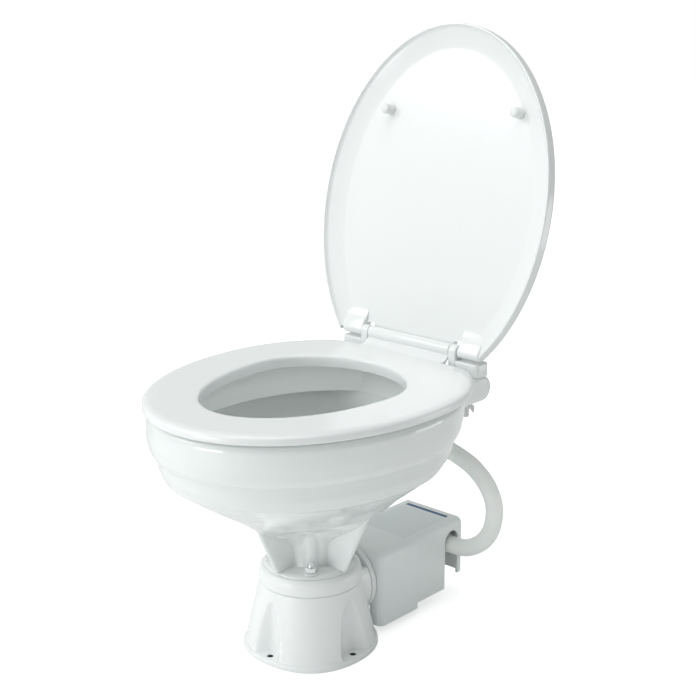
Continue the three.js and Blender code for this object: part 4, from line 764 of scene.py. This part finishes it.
for side, sign in (("right", 1.0), ("left", -1.0)):
    post = soften(slab(post_outline, "Z", 341.3, post_top), 1.6, 4, 60.0, lambda edge: all(
        end.co.z > post_top - 0.6 for end in edge.verts))
    eye = soften(slab(eye_outline, "X", 71.0, 82.0), 0.6, 3, 60.0, lambda edge: abs(
        edge.verts[0].co.x - edge.verts[1].co.x) < 0.1 and top_of(edge) > 362)
    post = carve(carve(post, eye, "UNION"), rod(pin_hole, 70, 83, 32, hinge_middle, across))
    pin = spun(pin_rows, 32, hinge_middle, across)
    bolt = spun(threaded(4.0, 281.7, 352.3, 1.8), 32, (bolt_x, bolt_y, 0))
    washer = spun(deck_washer_rows, 48, (bolt_x, bolt_y, 0))
    wings = soften(slab(wing_outline, "Y", -1.6, 1.6), 0.9, 3, 50.0)
    wing_nut = carve(spun(hub_rows, 40), wings, "UNION")
    wing_nut = move(carve(wing_nut, rod(4.2, 280, 310, 32)), bolt_x, bolt_y)
    for shape, name, material, node in (
            (post, "hinge_post", seat_gloss, "hinge_block"),
            (pin, "hinge_bar", bright_steel, "hinge_pin"),
            (bolt, "deck_bolt", white_nylon, "hinge_bolt"),
            (washer, "deck_washer", white_nylon, "hinge_washer"),
            (wing_nut, "wing_nut", white_nylon, "hinge_wing_nut")):
        bmesh.ops.scale(shape, vec=(sign, 1, 1), verts=shape.verts)
        dress(shape, f"{name}_{side}", material, "toilet", [f"{node}_{side}"], crease=35.0)

# Macerator and flush pump: moulded white housings on a black painted motor between pedestal and cover,
# with the discharge spigot and the flush inlet out on the left and one shaft through them all.
motor_paint = finish("motor_paint", (0.10, 0.105, 0.11), (0.13, 0.135, 0.14), 0.4, grain=0.05)
copper_wire = finish("copper_wire", (0.72, 0.36, 0.2), (0.6, 0.3, 0.17), 0.35, fixed={"Metallic": 1.0})
spigot_way = (0, 88, pump_axis)
port_way = (0.0, 230.0, 77.5)
housing_rows = [(0, 68.3), (47.4, 68.3), (48, 68.9), (48, 75.4), (47.4, 76), (36.5, 76), (35.4, 76.6),
                (35, 77.8), (35, 103), (34, 104), (0, 104)]
outlet_rows = [(0, -52), (15.5, -52), (16, -51.5), (16, 0), (0, 0)]
housing = carve(spun(housing_rows, 96, pump_way, backward), spun(outlet_rows, 64, spigot_way, across),
                "UNION")
for radius, start, end, middle, along in (
        (28, 72.3, 96, pump_way, backward), (18, 67, 90, pump_way, backward),
        (9, 90, 105, pump_way, backward), (10.5, -53, 0, spigot_way, across)):
    housing = carve(housing, rod(radius, start, end, 64, middle, along))
dress(housing, "macerator_body", base_plastic, "toilet", ["macerator_housing"], crease=35.0)


def barbs(radius, start, end, count):
    """Half section of a hose tail's ridges between two distances."""
    step = (end - start) / count
    return [point for i in range(count) for point in (
        (radius, start + step * i), (radius, start + step * (i + 0.25)),
        (0.9 * radius, start + step * (i + 0.95)))]


spigot_rows = [(10.5, -54.2), (16, -54.2), (16, -57.9), (12.3, -57.9), (12.3, -64),
               *barbs(12.7, -66, -89, 4), (11.6, -90), (10.5, -90), (10.5, -54.2)]
dress(spun(spigot_rows, 64, spigot_way, across), "discharge_tail", base_plastic, "toilet",
      ["discharge_spigot"], crease=30.0)
flush_rows = [(0, 208.3), (29.4, 208.3), (30, 208.9), (30, 241.6), (29.6, 242), (0, 242)]
port_rows = [(0, -80), (8.0, -80), *barbs(8.9, -79, -58, 3), (8.2, -56), (8.2, 36), (8.9, 37),
             (8.9, 49.4), (8.3, 50), (0, 50)]
flush_pump = carve(spun(flush_rows, 80, pump_way, backward), spun(port_rows, 48, port_way, across), "UNION")
flush_pump = carve(flush_pump, rod(20, 218, 243, 64, pump_way, backward))
flush_pump = carve(flush_pump, rod(6.5, -81, 51, 32, port_way, across))
flush_pump = carve(flush_pump, rod(4.3, 207, 219, 32, pump_way, backward))
dress(flush_pump, "flush_pump_body", base_plastic, "toilet", ["flush_pump_housing"], crease=30.0)
pump_lid_rows = [(0, 242.3), (29.5, 242.3), (30, 242.8), (30, 246.8), (29, 248), (0, 248)]
dress(spun(pump_lid_rows, 80, pump_way, backward), "flush_pump_lid", base_plastic, "toilet",
      ["flush_pump_plate"])
for node, material in {
        "housing_gasket": black_rubber, "joker_valve": black_rubber, "shaft_seal": black_rubber,
        "cable_gland": black_rubber, "discharge_impeller": white_nylon, "flush_impeller": black_rubber,
        "motor_shaft": bright_steel, "macerator_blade": bright_steel, "armature": copper_wire,
        "motor_casing": motor_paint, "motor_end_cap": motor_paint, "field_ring": motor_paint,
        "front_bearing": bright_steel, "rear_bearing": bright_steel}.items():
    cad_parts[node].data.materials[0] = material

# Inlet elbow and hose clips: a moulded bend from the hose up into the deck's boss, sealed by a black
# sleeve, and a stainless worm-drive clip round each end of the hose.
elbow_radius = 8.9
elbow_bore = 6.5
elbow_route = [(37.5, 228.0, 218.6), (29.5, 228.0, 220.8), (21.5, 228.0, 222.9), (13.8, 226.2, 225.2),
               (7.6, 221.7, 228.1), (3.2, 216.5, 232.7), (0.7, 212.7, 239.6), (0.0, 211.5, 247.7),
               (0.0, 211.5, 262.0), (0.0, 211.5, 284.0), (0.0, 211.5, 305.7)]
elbow_fine = smooth_route(elbow_route, 5)
elbow = bmesh.new()
loft(elbow, 40, tube_places(elbow_fine, elbow_radius) + tube_places(elbow_fine, elbow_bore)[::-1],
     closed=True)
hose_out = (-0.9649, -0.0036, 0.2625)
bead_rows = [(6.8, 0.3), (11, 0.3), (11.6, 0.9), (11.6, 3.7), (11, 4.3), (6.8, 4.3), (6.8, 0.3)]
elbow = carve(elbow, spun(bead_rows, 48, hose_route[-1], hose_out), "UNION")
dress(elbow, "inlet_bend", base_plastic, "toilet", ["bowl_inlet_elbow"])
sleeve_rows = [(9.2, 293.7), (12.0, 293.7), (12.4, 294.1), (12.4, 305.7), (9.2, 305.7), (9.2, 293.7)]
dress(spun(sleeve_rows, 48, inlet_way), "inlet_sleeve", black_rubber, "toilet", ["inlet_seal"])
band_rows = [(12.3, -4.3), (12.5, -4.5), (13, -4.5), (13.1, -4.2), (13.1, 4.2), (13, 4.5), (12.5, 4.5),
             (12.3, 4.3), (12.3, -4.3)]
worm_rows = [(0, -6.4), (2.3, -6.4), (2.3, 4.0), (3.1, 4.0), (3.1, 6.0), (2.7, 6.4), (0, 6.4)]
for i, (middle, along) in enumerate((((40.5, 230.0, 77.5), across), ((31.27, 228.02, 220.29), hose_out))):
    band = spun(band_rows, 72, (0, 0, 0), backward)
    band = carve(band, soften(brick(-5.2, 4.2, -4.5, 4.5, 12.6, 18.6), 1.1, 3, 60.0), "UNION")
    worm = carve(spun(worm_rows, 24, (0, 0, 16.2), across), brick(5.6, 7.0, -3.4, 3.4, 15.9, 16.6))
    band = carve(band, worm, "UNION")
    for step in range(9):
        notch = brick(-0.45, 0.45, -2.6, 2.6, 12.9, 13.6)
        round_band = Matrix.Rotation(math.radians(32 + 7.5 * step), 4, "Y")
        bmesh.ops.transform(notch, matrix=round_band, verts=notch.verts)
        band = carve(band, notch)
    swing = Vector(backward).rotation_difference(Vector(along)).to_matrix().to_4x4()
    bmesh.ops.transform(band, matrix=Matrix.Translation(middle) @ swing, verts=band.verts)
    dress(band, f"worm_clip_{i + 1}", bright_steel, "toilet", [f"hose_clip_{i + 1}"], crease=30.0)

# Pump cover: one box moulded in satin white plastic and open below, with round edges, a narrower rear
# half, and slots that clear the hose and the two spigots. A blank plate with one plain stripe is stuck
# on its top.
cover_plastic = finish("cover_plastic", (0.905, 0.94, 0.935), (0.89, 0.93, 0.925), 0.42, grain=0.12,
                       grain_scale=1400.0, wave=0.1)
plate_film = finish("plate_film", (0.82, 0.86, 0.87), (0.80, 0.845, 0.855), 0.3, grain=0.01)
stripe_film = finish("stripe_film", (0.012, 0.09, 0.22), (0.016, 0.11, 0.25), 0.3, grain=0.01)
cover_top = 113.0
cover_wall = 3.5
cover_corner = 9.0
cover_edge = 11.0
cover_sides = 96
corner_share = cover_sides / (cover_sides - 4)


def box_place(half_width, y0, y1, inset, z):
    """A rounded oblong's point at an angle, its corners taking all the points."""
    corner = max(cover_corner - inset, cover_corner / 4)

    def place(angle):
        quarter, share = divmod((angle % (2 * math.pi)) / (math.pi / 2) + 1e-6, 1)
        side_x, side_y = ((1, 1), (-1, 1), (-1, -1), (1, -1))[int(quarter) % 4]
        bend = math.pi / 2 * (quarter + min(1.0, share * corner_share))
        middle_y = y1 - inset - corner if side_y > 0 else y0 + inset + corner
        return Vector((side_x * (half_width - inset - corner) + corner * math.cos(bend),
                       middle_y + corner * math.sin(bend), z))
    return place


def cover_box(half_width, y0, y1, low, inset):
    """A closed box with round upright corners and a rounded top."""
    edge = cover_edge - inset
    high = cover_top - inset
    middle_y = (y0 + y1) / 2
    places = [lambda angle: Vector((0.0, middle_y, low)), box_place(half_width, y0, y1, inset, low)]
    for step in range(9):
        bend = math.pi / 2 * step / 8
        places.append(box_place(half_width, y0, y1, inset + edge * (1 - math.cos(bend)),
                                high - edge * (1 - math.sin(bend))))
    places.append(lambda angle: Vector((0.0, middle_y, high)))
    shape = bmesh.new()
    loft(shape, cover_sides, places)
    return shape


front_box = (55.0, 77.0, 159.0)
rear_box = (52.0, 137.0, 257.0)
cover_outside = carve(cover_box(*front_box, 8.8, 0.0), cover_box(*rear_box, 15.0, 0.0), "UNION")
cover_inside = carve(cover_box(*front_box, -1.0, cover_wall), cover_box(*rear_box, -1.0, cover_wall), "UNION")
cover = carve(cover_outside, cover_inside)
for y in (128.0, 184.0):
    rib = carve(brick(-30.0, 30.0, y - 1.5, y + 1.5, 97.0, 111.2), rod(38.3, 70, 210, 64, pump_way, backward))
    cover = carve(cover, rib, "UNION")
hose_slot = [(244.0, -1.0), *arc((229.75, 84.0), 14.25, 0.0, 180.0, 32), (215.5, -1.0)]
spigot_slot = [(104.6, -1.0), *arc((88.0, pump_axis), 16.6, 0.0, 180.0, 32), (71.4, -1.0)]
front_arch = [(35.3, -1.0), *arc((0.0, pump_axis), 35.3, 0.0, 180.0, 48), (-35.3, -1.0)]
for outline, axis, low, high in ((hose_slot, "X", 47.0, 56.0), (hose_slot, "X", -56.0, -47.0),
                                 (spigot_slot, "X", -56.0, -17.0), (front_arch, "Y", 76.0, 81.5)):
    cover = carve(cover, slab(outline, axis, low, high))
cover = carve(cover, brick(-56.0, 56.0, 244.0, 258.0, -1.0, 30.0))
dress(cover, "cover_shell", cover_plastic, "toilet", ["pump_cover"], crease=30.0)


def film(x0, x1, y0, y1, z0, z1, corner):
    """A thin plate with round corners."""
    outline = []
    for x, y, start in ((x1 - corner, y0 + corner, -90.0), (x1 - corner, y1 - corner, 0.0),
                        (x0 + corner, y1 - corner, 90.0), (x0 + corner, y0 + corner, 180.0)):
        outline += arc((x, y), corner, start, start + 90.0, 6)
    return slab(outline, "Z", z0, z1)


dress(film(-36.0, 40.0, 141.0, 241.0, 113.02, 113.3, 3.0), "blank_plate", plate_film, "toilet", [],
      crease=30.0)
dress(film(-34.0, 38.0, 232.6, 238.6, 113.3, 113.34, 1.0), "plate_stripe", stripe_film, "toilet", [],
      crease=30.0)
